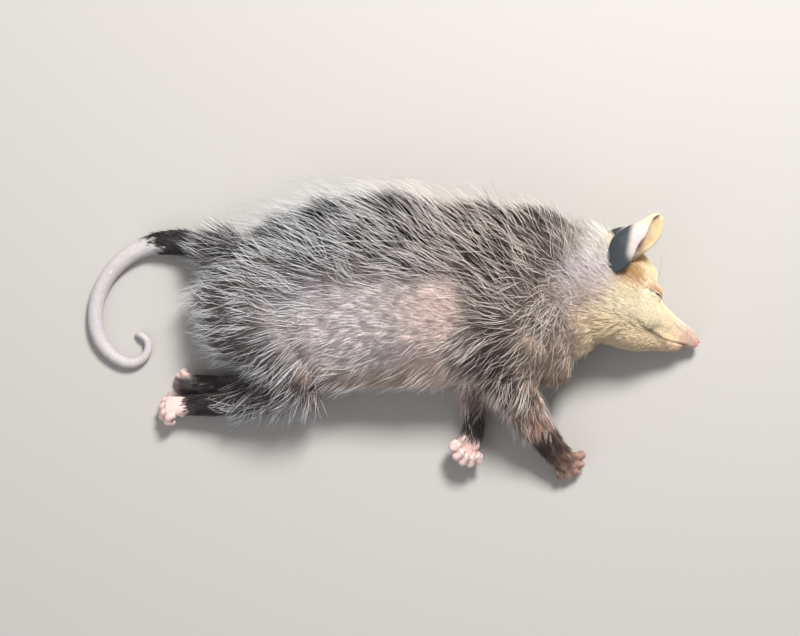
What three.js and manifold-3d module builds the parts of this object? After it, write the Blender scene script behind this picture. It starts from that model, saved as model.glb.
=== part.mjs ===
// A young opossum lying still on its left side, life size, as a museum shows it.
// Millimetres, +Z up. The nose points along +X and the back along +Y, so from above one sees its right side.
// Each solid reaches out to the tips of the coat, and the undersides are cut flat where they rest, at z = 0.
import * as THREE from "three";
import { mergeVertices } from "three/addons/utils/BufferGeometryUtils.js";
import Module from "manifold-3d";

const wasm = await Module();
wasm.setup();

// Driving sizes
const headLength = 76;
const eyeRadius = 4;
const earThickness = 1.3;
const clawThickness = 0.6;
const seam = 0.3; // gap between two pieces that meet
const sunk = 3; // how far a resting side would go below the floor before it is cut flat
const middle = { x: -3.4, y: -11.3 }; // of the box round the animal as it is drawn here; it becomes the origin

// Colours of the real coat and skin
const look = {
  coat: { color: 0x8f8783, roughness: 0.95 },
  darkCoat: { color: 0x3f3733, roughness: 0.95 },
  face: { color: 0xe9dcc0, roughness: 0.95 },
  earSkin: { color: 0x3b3f47, roughness: 0.6 },
  footSkin: { color: 0xe6bcae, roughness: 0.55 },
  tailSkin: { color: 0xdcc8c4, roughness: 0.6 },
  noseSkin: { color: 0xd99f94, roughness: 0.4 },
  eyeball: { color: 0x120c0a, roughness: 0.08 },
};

const radians = THREE.MathUtils.degToRad;
const animal = new THREE.Group();

// A group whose +X axis points along a heading, seen from above, rises from the floor, and rolls about itself
function limbFrame({ at, heading, rise, roll }) {
  const frame = new THREE.Group();
  frame.position.set(...at);
  frame.rotation.set(radians(roll), -radians(rise), radians(heading), "ZYX");
  animal.add(frame);
  return frame;
}

// A closed geometry from rings with the same number of points, each end closed by one point
function closeRings(rings, first, last) {
  const sides = rings[0].length;
  const points = [first, ...rings.flat(), last];
  const faces = [];
  const at = (ring, side) => 1 + ring * sides + (side % sides);
  for (let side = 0; side < sides; side++) {
    faces.push(0, at(0, side + 1), at(0, side));
    for (let ring = 0; ring + 1 < rings.length; ring++) {
      faces.push(at(ring, side), at(ring, side + 1), at(ring + 1, side + 1));
      faces.push(at(ring, side), at(ring + 1, side + 1), at(ring + 1, side));
    }
    faces.push(points.length - 1, at(rings.length - 1, side), at(rings.length - 1, side + 1));
  }
  const geometry = new THREE.BufferGeometry().setFromPoints(points);
  geometry.setIndex(faces);
  return geometry;
}

function smoothLine(points) {
  return new THREE.CatmullRomCurve3(points, false, "centripetal");
}

// A soft body of oval section along a smooth line through its stations. A station is [x, y, z, high, wide]: its place
// and how far the body reaches from it, up and down, and to each side. blunt tells how far each end bulges.
function softBody(stations, { rings, sides, blunt = [0, 0], up = [0, 0, 1] }, grow = 0) {
  const line = smoothLine(stations.map(([x, y, z]) => new THREE.Vector3(x, y, z)));
  const reach = smoothLine(stations.map(([, , , high, wide]) => new THREE.Vector3(high, wide, 0)));
  const upwards = new THREE.Vector3(...up);
  const ringAt = (t, shrink, push) => {
    const forward = line.getTangent(t);
    const left = new THREE.Vector3().crossVectors(upwards, forward).normalize();
    const top = new THREE.Vector3().crossVectors(forward, left);
    const centre = line.getPoint(t).addScaledVector(forward, push);
    const { x: high, y: wide } = reach.getPoint(t);
    return Array.from({ length: sides }, (_, i) => {
      const turn = (2 * Math.PI * i) / sides;
      const across = shrink * (wide + grow) * Math.cos(turn);
      const lift = shrink * (high + grow) * Math.sin(turn);
      return centre.clone().addScaledVector(left, across).addScaledVector(top, lift);
    });
  };
  const cap = [32, 62].map(radians);
  const bulge = blunt.map((size) => (size ? size + grow : 0));
  const made = [];
  if (bulge[0]) cap.toReversed().forEach((a) => made.push(ringAt(0, Math.cos(a), -Math.sin(a) * bulge[0])));
  for (let i = 0; i <= rings; i++) made.push(ringAt(i / rings, 1, 0));
  if (bulge[1]) cap.forEach((a) => made.push(ringAt(1, Math.cos(a), Math.sin(a) * bulge[1])));
  const first = line.getPoint(0).addScaledVector(line.getTangent(0), -bulge[0]);
  const last = line.getPoint(1).addScaledVector(line.getTangent(1), bulge[1]);
  return closeRings(made, first, last);
}

// Solids for joining and cutting
function solidOf(geometry, matrix = new THREE.Matrix4()) {
  const bare = geometry.clone().applyMatrix4(matrix);
  bare.deleteAttribute("normal");
  bare.deleteAttribute("uv");
  const merged = mergeVertices(bare, 1e-3);
  const mesh = new wasm.Mesh({
    numProp: 3,
    vertProperties: new Float32Array(merged.attributes.position.array),
    triVerts: new Uint32Array(merged.index.array),
  });
  return new wasm.Manifold(mesh);
}

function geometryOf(solid) {
  const largest = solid.decompose().reduce((a, b) => (b.volume() > a.volume() ? b : a));
  const mesh = largest.getMesh();
  const places = new Float32Array(mesh.numVert * 3);
  for (let i = 0; i < mesh.numVert; i++) {
    places.set(mesh.vertProperties.subarray(i * mesh.numProp, i * mesh.numProp + 3), i * 3);
  }
  const geometry = new THREE.BufferGeometry();
  geometry.setAttribute("position", new THREE.BufferAttribute(places, 3));
  geometry.setIndex(new THREE.BufferAttribute(mesh.triVerts, 1));
  return geometry;
}

const belowFloor = solidOf(new THREE.BoxGeometry(800, 800, 100).translate(0, 0, -50));
const pieces = new Map(); // name: the solid and its fatter twin in the animal's frame, its group and its material

// Adds a piece and cuts it back from all earlier ones. shape(grow) gives its geometry, or several to be joined,
// in the frame of its parent; grow fattens it.
function piece(name, material, shape, parent = animal) {
  animal.updateMatrixWorld(true);
  const joined = (grow) =>
    [shape(grow)]
      .flat()
      .map((geometry) => solidOf(geometry, parent.matrixWorld))
      .reduce((a, b) => a.add(b));
  let solid = joined(0).subtract(belowFloor);
  for (const earlier of pieces.values()) solid = solid.subtract(earlier.fatter);
  pieces.set(name, { fatter: joined(seam), solid, parent, material });
}

// Trunk, from the rump to the shoulders. Like the neck, it lies on its side: its stations give x, y, high and wide.
const resting = ([x, y, high, wide]) => [x, y, high - sunk, high, wide];
const trunkStations = [
  [-94, 8, 18, 24],
  [-80, 7, 25, 37],
  [-56, 8, 28.5, 46],
  [-26, 12.5, 30.5, 51],
  [4, 13.5, 31.5, 51.5],
  [34, 11.5, 30.5, 49],
  [62, 10.5, 29.5, 48],
  [84, 11, 27, 45],
].map(resting);
piece("trunk", look.coat, (grow) => softBody(trunkStations, { rings: 12, sides: 20, blunt: [10, 10] }, grow));

// The head hangs in its own frame: the nose tip is the origin, +X runs forwards, +Y to the crown and +Z to the right
// side, which faces up. It points 34 degrees towards the belly side, dips to the floor, and rolls its chin up.
const head = limbFrame({ at: [158.5, -12.3, 6.5], heading: -34, rise: -15, roll: -14 });

// Nose pad
const noseStations = [
  [-3.4, -1.6, 0, 3.1, 3.2],
  [-1.2, -1.6, 0, 3.4, 3.2],
  [0.4, -1.8, 0, 2.6, 2.4],
];
piece("nose", look.noseSkin, (grow) => softBody(noseStations, { rings: 3, sides: 9, blunt: [0, 0.9] }, grow), head);

// Eyes
const eyePlace = { back: 39.6, above: 2.4, aside: 11.6 };
for (const [side, mirror] of [["right", 1], ["left", -1]]) {
  const eyeball = (grow) =>
    new THREE.SphereGeometry(eyeRadius + grow, 12, 8).translate(-eyePlace.back, eyePlace.above, mirror * eyePlace.aside);
  piece(`eye_${side}`, look.eyeball, eyeball, head);
}

// Skull with the snout, and the shorter lower jaw under it. Behind the eyes the forehead rises steeply.
const skullStations = [
  [-headLength, -6, 0, 20, 26],
  [-66, -5.5, 0, 21.5, 27.5],
  [-54, -5, 0, 21.2, 27.2],
  [-45, -4.9, 0, 18.4, 24],
  [-38, -5.3, 0, 15.8, 18.6],
  [-32, -4.8, 0, 14.2, 13.8],
  [-25, -3.5, 0, 11.8, 9.8],
  [-17, -2.5, 0, 9, 7.4],
  [-9, -1.8, 0, 6.6, 6.3],
  [-4, -1.7, 0, 5, 5.1],
];
const jawStations = [
  [-50, -17, 0, 13, 13],
  [-36, -16.5, 0, 12, 10],
  [-24, -14, 0, 9, 7],
  [-15, -11, 0, 6.2, 4.6],
  [-10, -9.2, 0, 4.2, 3],
];
const headShapes = (grow) => [
  softBody(skullStations, { rings: 13, sides: 16, blunt: [9, 1.2] }, grow),
  softBody(jawStations, { rings: 5, sides: 10, blunt: [6, 2.4] }, grow),
];
piece("head", look.face, headShapes, head);

// Neck with its ruff, between the shoulders and the head
const neckStations = [
  [72, 13, 28, 45],
  [86, 14.5, 26.5, 41.5],
  [98, 16, 24.5, 36],
  [107, 16, 20, 29],
].map(resting);
piece("neck", look.coat, (grow) => softBody(neckStations, { rings: 5, sides: 16, blunt: [4, 2] }, grow));

// An ear is a thin sheet rolled round its own length, open towards -Y. Stations run from the foot to the tip: how far
// along, then where the rolled back, the near margin and the far margin lie across, and how deep the roll is.
const earStations = [
  [-5, 4, -2.5, -2.5, 7],
  [2, 8, -4.6, -4.5, 9.5],
  [8, 10.4, -3, -5.8, 10],
  [14, 9.6, -1.2, -7.2, 9.4],
  [20, 7.4, -0.8, -8, 8],
  [25, 5.2, 0.8, -7.2, 5.6],
  [29.5, 3.9, 2, -4.8, 3.6],
  [32.8, 1.6, 0.7, -1.8, 1.8],
];
function rolledEar(mirror, rows = 9, columns = 6) {
  const shares = smoothLine(earStations.map(([along, , , , deep]) => new THREE.Vector3(along, deep, 0)));
  const edges = smoothLine(earStations.map(([, back, near, far]) => new THREE.Vector3(back, near, far)));
  const sheet = (t, share) => {
    const { x: along, y: deep } = shares.getPoint(t);
    const { x: back, y: near, z: far } = edges.getPoint(t);
    const turn = (share * Math.PI) / 2;
    const across = back - (back - (share > 0 ? near : far)) * (1 - Math.cos(turn));
    return new THREE.Vector3(along, across, (mirror * deep * Math.sin(turn)) / 2);
  };
  const wall = (t, share, side) => {
    const step = 0.02;
    const alongSheet = sheet(Math.min(1, t + step), share).sub(sheet(Math.max(0, t - step), share));
    const acrossSheet = sheet(t, Math.min(1, share + step)).sub(sheet(t, Math.max(-1, share - step)));
    const outward = acrossSheet.cross(alongSheet).normalize();
    const half = (earThickness / 2) * (1 - 0.45 * share * share);
    return sheet(t, share).addScaledVector(outward, side * half);
  };
  const rings = Array.from({ length: rows + 1 }, (_, row) => {
    const outer = [];
    const inner = [];
    for (let c = 0; c <= columns; c++) {
      const share = (2 * c) / columns - 1;
      outer.push(wall(row / rows, share, mirror));
      inner.unshift(wall(row / rows, share, -mirror));
    }
    return mirror > 0 ? [...outer, ...inner] : [...outer, ...inner].toReversed();
  });
  const centre = (ring) => ring.reduce((sum, p) => sum.add(p), new THREE.Vector3()).divideScalar(ring.length);
  return closeRings(rings, centre(rings[0]), centre(rings.at(-1)));
}
const ears = {
  right: { mirror: 1, at: [112, 28.2, 41], heading: 48, rise: 2, roll: 0 },
  left: { mirror: -1, at: [107, 33, 9], heading: 31, rise: 24, roll: -10 },
};
for (const [side, ear] of Object.entries(ears)) {
  piece(`ear_${side}`, look.earSkin, () => rolledEar(ear.mirror), limbFrame(ear));
}

// A foot in its own frame: +X from the ankle or wrist to the toes, +Z the back of the foot. Five digits fan out from
// the front of the palm, bend towards the sole by a share of curl at each knuckle, and end in a small claw.
function footShapes({ length, width, deep, digit, thick, fan, curl }, grow) {
  const palm = softBody(
    [
      [0, 0, 0, deep / 2, 0.36 * width],
      [0.5 * length, 0, 0, deep / 2, 0.45 * width],
      [length, 0, 0, 0.42 * deep, 0.45 * width],
    ],
    { rings: 2, sides: 8, blunt: [2, 1.6] },
    grow,
  );
  const digits = [-1, -0.5, 0, 0.5, 1].map((place) => {
    const yaw = radians(fan * place);
    const reach = digit * (1 - 0.2 * place * place);
    const root = new THREE.Vector3(0.85 * length - 0.18 * width * place * place, 0.4 * width * place, 0);
    const points = [root];
    [0.15, 0.9, 1.7].forEach((share) => {
      const bend = radians(curl * share);
      const way = new THREE.Vector3(Math.cos(yaw) * Math.cos(bend), Math.sin(yaw) * Math.cos(bend), -Math.sin(bend));
      points.push(points.at(-1).clone().addScaledVector(way, reach / 3));
    });
    const clawTip = points.at(-1).clone().lerp(points.at(-2), -0.7);
    const stations = points.map((p, i) => [...p.toArray(), thick * (1 - 0.06 * i), thick * (1 - 0.06 * i)]);
    stations.push([...clawTip.toArray(), clawThickness, clawThickness]);
    return softBody(stations, { rings: 4, sides: 6, up: [0, 1, 0] }, grow);
  });
  return [palm, ...digits];
}

// Legs: a thick upper part that grows out of the trunk, a slimmer lower part and a foot
const legs = {
  foreleg_right: {
    upper: [
      [62, -8, 34, 26, 25],
      [57, -24, 33, 20, 20],
      [61, -37, 30, 14, 14],
    ],
    lower: [
      [61, -36, 29, 12, 13],
      [68, -50, 23.5, 9, 9.8],
      [78, -65, 15, 7, 8],
      [84.5, -73, 11.5, 5.6, 7],
    ],
    foot: {
      frame: { at: [85.5, -74, 11], heading: -44, rise: -12, roll: 8 },
      size: { length: 8, width: 14, deep: 8, digit: 11, thick: 2.1, fan: 34, curl: 52 },
    },
  },
  foreleg_left: {
    upper: [
      [54, -16, 13, 16, 20],
      [45, -30, 11, 14, 14],
      [41.5, -42, 9, 9.5, 9.5],
    ],
    lower: [
      [41.5, -41, 9, 8.5, 8],
      [40.5, -50, 8, 5.6, 5.4],
      [39, -61, 8, 4.6, 4.4],
    ],
    foot: {
      frame: { at: [37.5, -65, 8.4], heading: -118, rise: 0, roll: 165 },
      size: { length: 8, width: 15, deep: 8, digit: 14, thick: 2.2, fan: 30, curl: 88 },
    },
  },
  hindleg_right: {
    upper: [
      [-68, 2, 34, 25, 26],
      [-58, -14, 33, 22, 24],
      [-49, -29, 29, 18, 18],
    ],
    lower: [
      [-51, -31, 24, 16, 15],
      [-68, -40, 18.5, 10.5, 10],
      [-86, -44.5, 13, 7.2, 7],
      [-111.5, -46.4, 10, 5.4, 6],
    ],
    foot: {
      frame: { at: [-114.5, -46.6, 9.6], heading: 180, rise: -2, roll: 35 },
      size: { length: 9, width: 14, deep: 8.4, digit: 13, thick: 2.2, fan: 26, curl: 80 },
    },
  },
  hindleg_left: {
    upper: [
      [-66, -8, 14, 17, 22],
      [-61, -22, 12, 15, 18],
      [-63, -32, 9, 12, 12],
    ],
    lower: [
      [-62, -31, 8, 11, 11],
      [-76, -35, 6, 9, 8.4],
      [-90, -36.5, 5, 7, 6.6],
      [-107, -36, 4.6, 5.4, 5.6],
    ],
    foot: {
      frame: { at: [-109, -35.6, 5], heading: 178, rise: 0, roll: -20 },
      size: { length: 7, width: 11.5, deep: 8, digit: 9, thick: 1.9, fan: 22, curl: 60 },
    },
  },
};
for (const [name, { upper, lower, foot }] of Object.entries(legs)) {
  piece(`${name}_upper`, look.coat, (grow) => softBody(upper, { rings: 5, sides: 11, blunt: [6, 7] }, grow));
  piece(`${name}_lower`, look.darkCoat, (grow) => softBody(lower, { rings: 5, sides: 9, blunt: [4, 2.5] }, grow));
  piece(`${name}_foot`, look.footSkin, (grow) => footShapes(foot.size, grow), limbFrame(foot.frame));
}

// Tail: it leaves the rump, sinks to the floor and bends ever tighter into a hook. Each length has its own bend.
const tail = { at: [-78, 26, 24], heading: 151, sink: 21, radius: 12 };
const tailLengths = {
  root: { length: 34, bend: 14, radius: 7.2 },
  upper: { length: 27, bend: 34, radius: 4.9 },
  middle: { length: 27, bend: 38, radius: 4.4 },
  lower: { length: 27, bend: 40, radius: 4 },
  hook: { length: 25, bend: 60, radius: 3 },
  curl: { length: 16, bend: 92, radius: 2.3 },
  tip: { length: 12, bend: 105, radius: 1.7 },
};
const walk = { place: new THREE.Vector3(...tail.at), heading: tail.heading, radius: tail.radius, gone: 0 };
for (const [name, { length, bend, radius }] of Object.entries(tailLengths)) {
  const steps = 6;
  const stations = [];
  const isTip = name === "tip";
  const walked = isTip ? length : length - seam;
  for (let i = 0; i <= steps; i++) {
    const share = i / steps;
    const thick = THREE.MathUtils.lerp(walk.radius, radius, share);
    const lift = Math.max(thick - 0.3, tail.at[2] - tail.sink * Math.min(1, (walk.gone + share * walked) / 48));
    stations.push([walk.place.x, walk.place.y, lift, thick, thick]);
    const along = i < steps ? walked / steps : length - walked;
    const turn = radians(walk.heading + bend * (share + 0.5 / steps));
    walk.place.x += along * Math.cos(turn);
    walk.place.y += along * Math.sin(turn);
  }
  walk.heading += bend;
  walk.radius = radius;
  walk.gone += length;
  const form = { rings: 5, sides: 8, blunt: [0, isTip ? 1.5 : 0] };
  piece(`tail_${name}`, name === "root" ? look.coat : look.tailSkin, (grow) => softBody(stations, form, grow));
}

// Every piece becomes a named mesh in the group it hangs in
animal.updateMatrixWorld(true);
for (const [name, { solid, parent, material }] of pieces) {
  const mesh = new THREE.Mesh(
    geometryOf(solid).applyMatrix4(parent.matrixWorld.clone().invert()),
    new THREE.MeshStandardMaterial({ metalness: 0, ...material }),
  );
  mesh.name = name;
  parent.add(mesh);
}
animal.position.set(-middle.x, -middle.y, 0);

export default animal;
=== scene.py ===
import math
import bpy
import numpy as np
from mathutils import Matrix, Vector
from mathutils.kdtree import KDTree


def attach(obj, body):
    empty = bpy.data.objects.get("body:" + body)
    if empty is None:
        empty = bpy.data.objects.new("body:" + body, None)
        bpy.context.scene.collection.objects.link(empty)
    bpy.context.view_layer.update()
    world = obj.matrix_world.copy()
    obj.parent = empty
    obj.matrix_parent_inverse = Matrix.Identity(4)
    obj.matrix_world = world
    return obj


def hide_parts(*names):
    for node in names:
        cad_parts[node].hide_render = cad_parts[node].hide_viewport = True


# A young opossum lying still on its left side: one skin, two eyes, claws, whiskers and a coat of mesh tufts.
# The nose points along +X, the back along +Y, and the animal's right side faces up.
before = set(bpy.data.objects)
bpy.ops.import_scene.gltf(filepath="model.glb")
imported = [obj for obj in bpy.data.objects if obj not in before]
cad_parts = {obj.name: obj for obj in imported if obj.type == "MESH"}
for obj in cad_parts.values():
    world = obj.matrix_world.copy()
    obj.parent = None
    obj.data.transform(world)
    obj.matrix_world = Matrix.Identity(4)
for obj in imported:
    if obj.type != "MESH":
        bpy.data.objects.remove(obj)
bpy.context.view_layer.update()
print("frame loaded")

mm = 0.001
up = np.array([0.0, 0.0, 1.0])


def deselectAll():
    bpy.ops.object.select_all(action="DESELECT")


def makeActive(piece):
    deselectAll()
    piece.select_set(True)
    bpy.context.view_layer.objects.active = piece


def applyModifier(piece, kind, **settings):
    makeActive(piece)
    modifier = piece.modifiers.new(kind.title(), kind)
    for name, value in settings.items():
        setattr(modifier, name, value)
    bpy.ops.object.modifier_apply(modifier=modifier.name)


def editAll(piece):
    makeActive(piece)
    bpy.ops.object.mode_set(mode="EDIT")
    bpy.ops.mesh.select_all(action="SELECT")


def leaveEdit():
    bpy.ops.object.mode_set(mode="OBJECT")


def joined(pieces, name):
    deselectAll()
    for piece in pieces:
        piece.select_set(True)
    bpy.context.view_layer.objects.active = pieces[0]
    bpy.ops.object.join()
    whole = bpy.context.object
    whole.name = name
    return whole


def placesOf(piece):
    places = np.empty(len(piece.data.vertices) * 3, np.float32)
    piece.data.vertices.foreach_get("co", places)
    return places.reshape(-1, 3).astype(np.float64)


def moveTo(piece, places):
    piece.data.vertices.foreach_set("co", places.astype(np.float32).ravel())
    piece.data.update()


def trianglesOf(piece):
    piece.data.calc_loop_triangles()
    corners = np.empty(len(piece.data.loop_triangles) * 3, np.int32)
    piece.data.loop_triangles.foreach_get("vertices", corners)
    return corners.reshape(-1, 3)


def edgesOf(piece):
    ends = np.empty(len(piece.data.edges) * 2, np.int32)
    piece.data.edges.foreach_get("vertices", ends)
    return ends.reshape(-1, 2)


def unit(vectors):
    return vectors / np.maximum(np.linalg.norm(vectors, axis=-1, keepdims=True), 1e-12)


def normalsOf(places, triangles):
    a, b, c = (places[triangles[:, i]] for i in range(3))
    face = np.cross(b - a, c - a)
    normals = np.zeros_like(places)
    for i in range(3):
        for axis in range(3):
            normals[:, axis] += np.bincount(triangles[:, i], face[:, axis], len(places))
    return unit(normals)


def softened(values, edges, rounds, share=0.5, keepSize=False):
    # each value moves by a share towards the mean of its neighbours, again and again;
    # with keepSize every other step goes back out, so that bumps go but the size stays
    values = np.asarray(values, np.float64)
    flat = values.reshape(len(values), -1).copy()
    one, two = edges[:, 0], edges[:, 1]
    count = np.bincount(one, minlength=len(flat)) + np.bincount(two, minlength=len(flat))
    count = np.maximum(count, 1)
    for turn in range(rounds):
        way = -1.04 if keepSize and turn % 2 else 1.0
        for column in range(flat.shape[1]):
            line = flat[:, column]
            total = np.bincount(one, line[two], len(line)) + np.bincount(two, line[one], len(line))
            flat[:, column] = line + way * share * (total / count - line)
    return flat.reshape(values.shape)


def treeOf(points):
    tree = KDTree(len(points))
    for number, point in enumerate(points):
        tree.insert(point, number)
    tree.balance()
    return tree


def nearest(points, places):
    # the number of the point nearest to each place
    tree = treeOf(points)
    return np.array([tree.find(place)[1] for place in places])


def smoothStep(low, high, values):
    t = np.clip((values - low) / (high - low), 0, 1)
    return t * t * (3 - 2 * t)


def turned(heading, rise=0.0, roll=0.0):
    # a limb's own axes as columns: +X along the heading, rising from the floor, rolled about itself
    h, r, o = (math.radians(a) for a in (heading, -rise, roll))
    aboutUp = np.array([[math.cos(h), -math.sin(h), 0], [math.sin(h), math.cos(h), 0], [0, 0, 1]])
    aboutSide = np.array([[math.cos(r), 0, math.sin(r)], [0, 1, 0], [-math.sin(r), 0, math.cos(r)]])
    aboutLength = np.array([[1, 0, 0], [0, math.cos(o), -math.sin(o)], [0, math.sin(o), math.cos(o)]])
    return aboutUp @ aboutSide @ aboutLength


# Camera straight above the animal, as in the photograph
view = {"place": (3.4 * mm, 11.3 * mm, 900 * mm), "focalPixels": 1673, "imageWidth": 800, "sensor": 36.0}
bpy.ops.object.camera_add(location=view["place"], rotation=(0, 0, 0))
camera = bpy.context.object
camera.name = "camera"
camera.data.sensor_width = view["sensor"]
camera.data.sensor_fit = "HORIZONTAL"
camera.data.lens = view["focalPixels"] * view["sensor"] / view["imageWidth"]
bpy.context.scene.camera = camera

# Flesh under the coat. Each body is lofted along stations [x, y, z, high, wide] in mm: its place, and how
# far it reaches up and down and to each side. They lie inside the CAD solids by the coat's depth there.
middle = np.array([3.4, 11.3, 0.0])  # carries a place in the drawing to the frame
headAxes = turned(-34, -15, -14)
headPlace = np.array([158.5, -12.3, 6.5])


def inHead(places):
    # metres in the frame to mm in the head: forwards from the nose tip, to the crown, to the right side
    return (places / mm - headPlace - middle) @ headAxes


def fromHead(local):
    return (np.asarray(local) @ headAxes.T + headPlace + middle) * mm


def alongLine(points, shares):
    # a smooth line through its points
    points = np.asarray(points, float)
    padded = np.vstack([2 * points[0] - points[1], points, 2 * points[-1] - points[-2]])
    spot = np.clip(shares, 0, 1) * (len(points) - 1)
    start = np.minimum(spot.astype(int), len(points) - 2)
    t = (spot - start)[:, None]
    p0, p1, p2, p3 = (padded[start + i] for i in range(4))
    steps = ((p0, p1), (p1, p2), (p2, p3))
    d0, d1, d2 = (np.maximum(((b - a) ** 2).sum(1), 1e-9)[:, None] ** 0.25 for a, b in steps)
    m1 = ((p1 - p0) / d0 - (p2 - p0) / (d0 + d1) + (p2 - p1) / d1) * d1
    m2 = ((p2 - p1) / d1 - (p3 - p1) / (d1 + d2) + (p3 - p2) / d2) * d1
    return p1 + m1 * t + (3 * (p2 - p1) - 2 * m1 - m2) * t**2 + (2 * (p1 - p2) + m1 + m2) * t**3


def closedRings(name, rings, first, last):
    # a closed mesh from rings of points, in metres
    count, sides = rings.shape[:2]
    points = np.vstack([rings.reshape(-1, 3), first, last])

    def at(ring, side):
        return ring * sides + side % sides

    faces = []
    for r in range(count - 1):
        faces += [[at(r, s), at(r, s + 1), at(r + 1, s + 1), at(r + 1, s)] for s in range(sides)]
    faces += [[count * sides, at(0, s + 1), at(0, s)] for s in range(sides)]
    faces += [[count * sides + 1, at(count - 1, s), at(count - 1, s + 1)] for s in range(sides)]
    mesh = bpy.data.meshes.new(name)
    mesh.from_pydata(points.tolist(), [], faces)
    piece = bpy.data.objects.new(name, mesh)
    bpy.context.scene.collection.objects.link(piece)
    return piece


def inFrame(points, axes, at):
    # a body's own mm to metres in the frame
    return (np.asarray(points) @ np.asarray(axes).T + np.asarray(at) + middle) * mm


def softBody(name, stations, blunt=(0, 0), upwards=up, axes=np.eye(3), at=(0, 0, 0), rings=40, sides=36):
    # a loft through its stations, with a rounded cap at each end that stands out by its blunt length
    stations = np.asarray(stations, float)
    shares = np.linspace(0, 1, rings)
    centres = alongLine(stations[:, :3], shares)
    reach = alongLine(np.hstack([stations[:, 3:], np.zeros((len(stations), 1))]), shares)[:, :2]
    forward = unit(np.gradient(centres, axis=0))
    caps = np.radians([75, 60, 45, 30, 15])
    squeeze = np.concatenate([np.cos(caps), np.ones(rings), np.cos(caps[::-1])])
    push = np.concatenate([-np.sin(caps) * blunt[0], np.zeros(rings), np.sin(caps[::-1]) * blunt[1]])
    pick = np.concatenate([np.zeros(5, int), np.arange(rings), np.full(5, rings - 1)])
    left = unit(np.cross(upwards, forward))
    top = np.cross(forward, left)
    turn = np.linspace(0, 2 * np.pi, sides, endpoint=False)[None, :, None]
    spots = centres[pick] + forward[pick] * push[:, None]
    wide = (squeeze * reach[pick, 1])[:, None, None]
    high = (squeeze * reach[pick, 0])[:, None, None]
    sideways = left[pick][:, None] * wide * np.cos(turn)
    loops = spots[:, None] + sideways + top[pick][:, None] * high * np.sin(turn)
    first = centres[0] - forward[0] * blunt[0]
    last = centres[-1] + forward[-1] * blunt[1]
    return closedRings(name, *(inFrame(points, axes, at) for points in (loops, first[None], last[None])))


def ball(name, centre, radii, axes=np.eye(3), at=(0, 0, 0)):
    # an egg shape with its own reach along each axis
    x, y, z = centre
    a, b, c = radii
    turns = np.linspace(0.35, math.pi - 0.35, 9)
    stations = [[x - a * math.cos(t), y, z, c * math.sin(t), b * math.sin(t)] for t in turns]
    return softBody(name, stations, (a * 0.06, a * 0.06), axes=axes, at=at, rings=20, sides=20)


flesh = []  # the bodies, which become one skin

# Trunk and neck lie on their side: the coat is deepest along the back, and thin where the animal lies on it
trunkStations = [
    [-94, 8, 18, 24], [-80, 7, 25, 37], [-56, 8, 28.5, 46], [-26, 12.5, 30.5, 51],
    [4, 13.5, 31.5, 51.5], [34, 11.5, 30.5, 49], [62, 10.5, 29.5, 48], [84, 11, 27, 45],
]
neckStations = [[72, 13, 28, 45], [86, 14.5, 26.5, 41.5], [98, 16, 24.5, 36], [107, 16, 20, 29]]
trunkCoat = {"back": 12.5, "belly": 6.0, "flank": 8.5, "under": 2.0}
neckCoat = {"back": 9.0, "belly": 7.0, "flank": 7.5, "under": 2.5}


def lying(stations, coat, sunk=3.0):
    made = []
    for x, y, high, wide in stations:
        low, top = coat["under"] - 2.0, 2 * high - sunk - coat["flank"]
        near, far = y - wide + coat["belly"], y + wide - coat["back"]
        made.append([x, (near + far) / 2, (low + top) / 2, (top - low) / 2, (far - near) / 2])
    return made


flesh.append(softBody("trunk", lying(trunkStations, trunkCoat), (4, 6), sides=60))
flesh.append(softBody("neck", lying(neckStations, neckCoat), (6, 4), sides=48))

# Head: a narrow snout in front of a steep forehead, wide cheeks, and the slim lower jaw
skullStations = [
    [-76, -6, 0, 16.5, 21], [-66, -5.5, 0, 18.6, 23.6], [-54, -5, 0, 18.8, 24], [-45, -4.9, 0, 16.2, 21.2],
    [-38, -5.3, 0, 13.8, 16.4], [-32, -4.8, 0, 12.3, 12], [-25, -3.5, 0, 10.2, 8.4], [-17, -2.5, 0, 7.9, 6.3],
    [-9, -1.8, 0, 5.9, 5.5], [-4, -1.7, 0, 4.5, 4.6],
]
jawStations = [
    [-54, -15, 0, 12, 12], [-40, -15.8, 0, 11.5, 10], [-28, -13.8, 0, 9.2, 7.8], [-19, -11.2, 0, 7, 5.8],
    [-13, -9.2, 0, 5.5, 4.8], [-9, -8.2, 0, 4.2, 3.7],
]
noseStations = [[-6, -1.5, 0, 4.1, 4.1], [-2.6, -1.5, 0, 3.8, 3.7], [0.2, -1.7, 0, 2.9, 2.8]]
eyePlace = {"back": 39.6, "above": 2.4, "aside": 11.1, "radius": 4.0}
inTheHead = {"axes": headAxes, "at": headPlace}
flesh.append(softBody("skull", skullStations, (7, 2.6), **inTheHead, rings=60, sides=48))
flesh.append(softBody("jaw", jawStations, (5, 2), **inTheHead, sides=28))
flesh.append(softBody("nose", noseStations, (0, 1.2), **inTheHead, rings=12, sides=24))
for mirror in (1, -1):
    eyeSpot = (-eyePlace["back"], eyePlace["above"], mirror * eyePlace["aside"])
    flesh.append(ball("orbit", eyeSpot, (5.6, 5.2, 4.7), headAxes, headPlace))
    flesh.append(ball("cheek", (-48, -7.5, mirror * 7.5), (21, 11, 11), headAxes, headPlace))
    flesh.append(ball("whiskerPad", (-16, -5, mirror * 2.9), (11, 4.6, 3.9), headAxes, headPlace))

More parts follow.
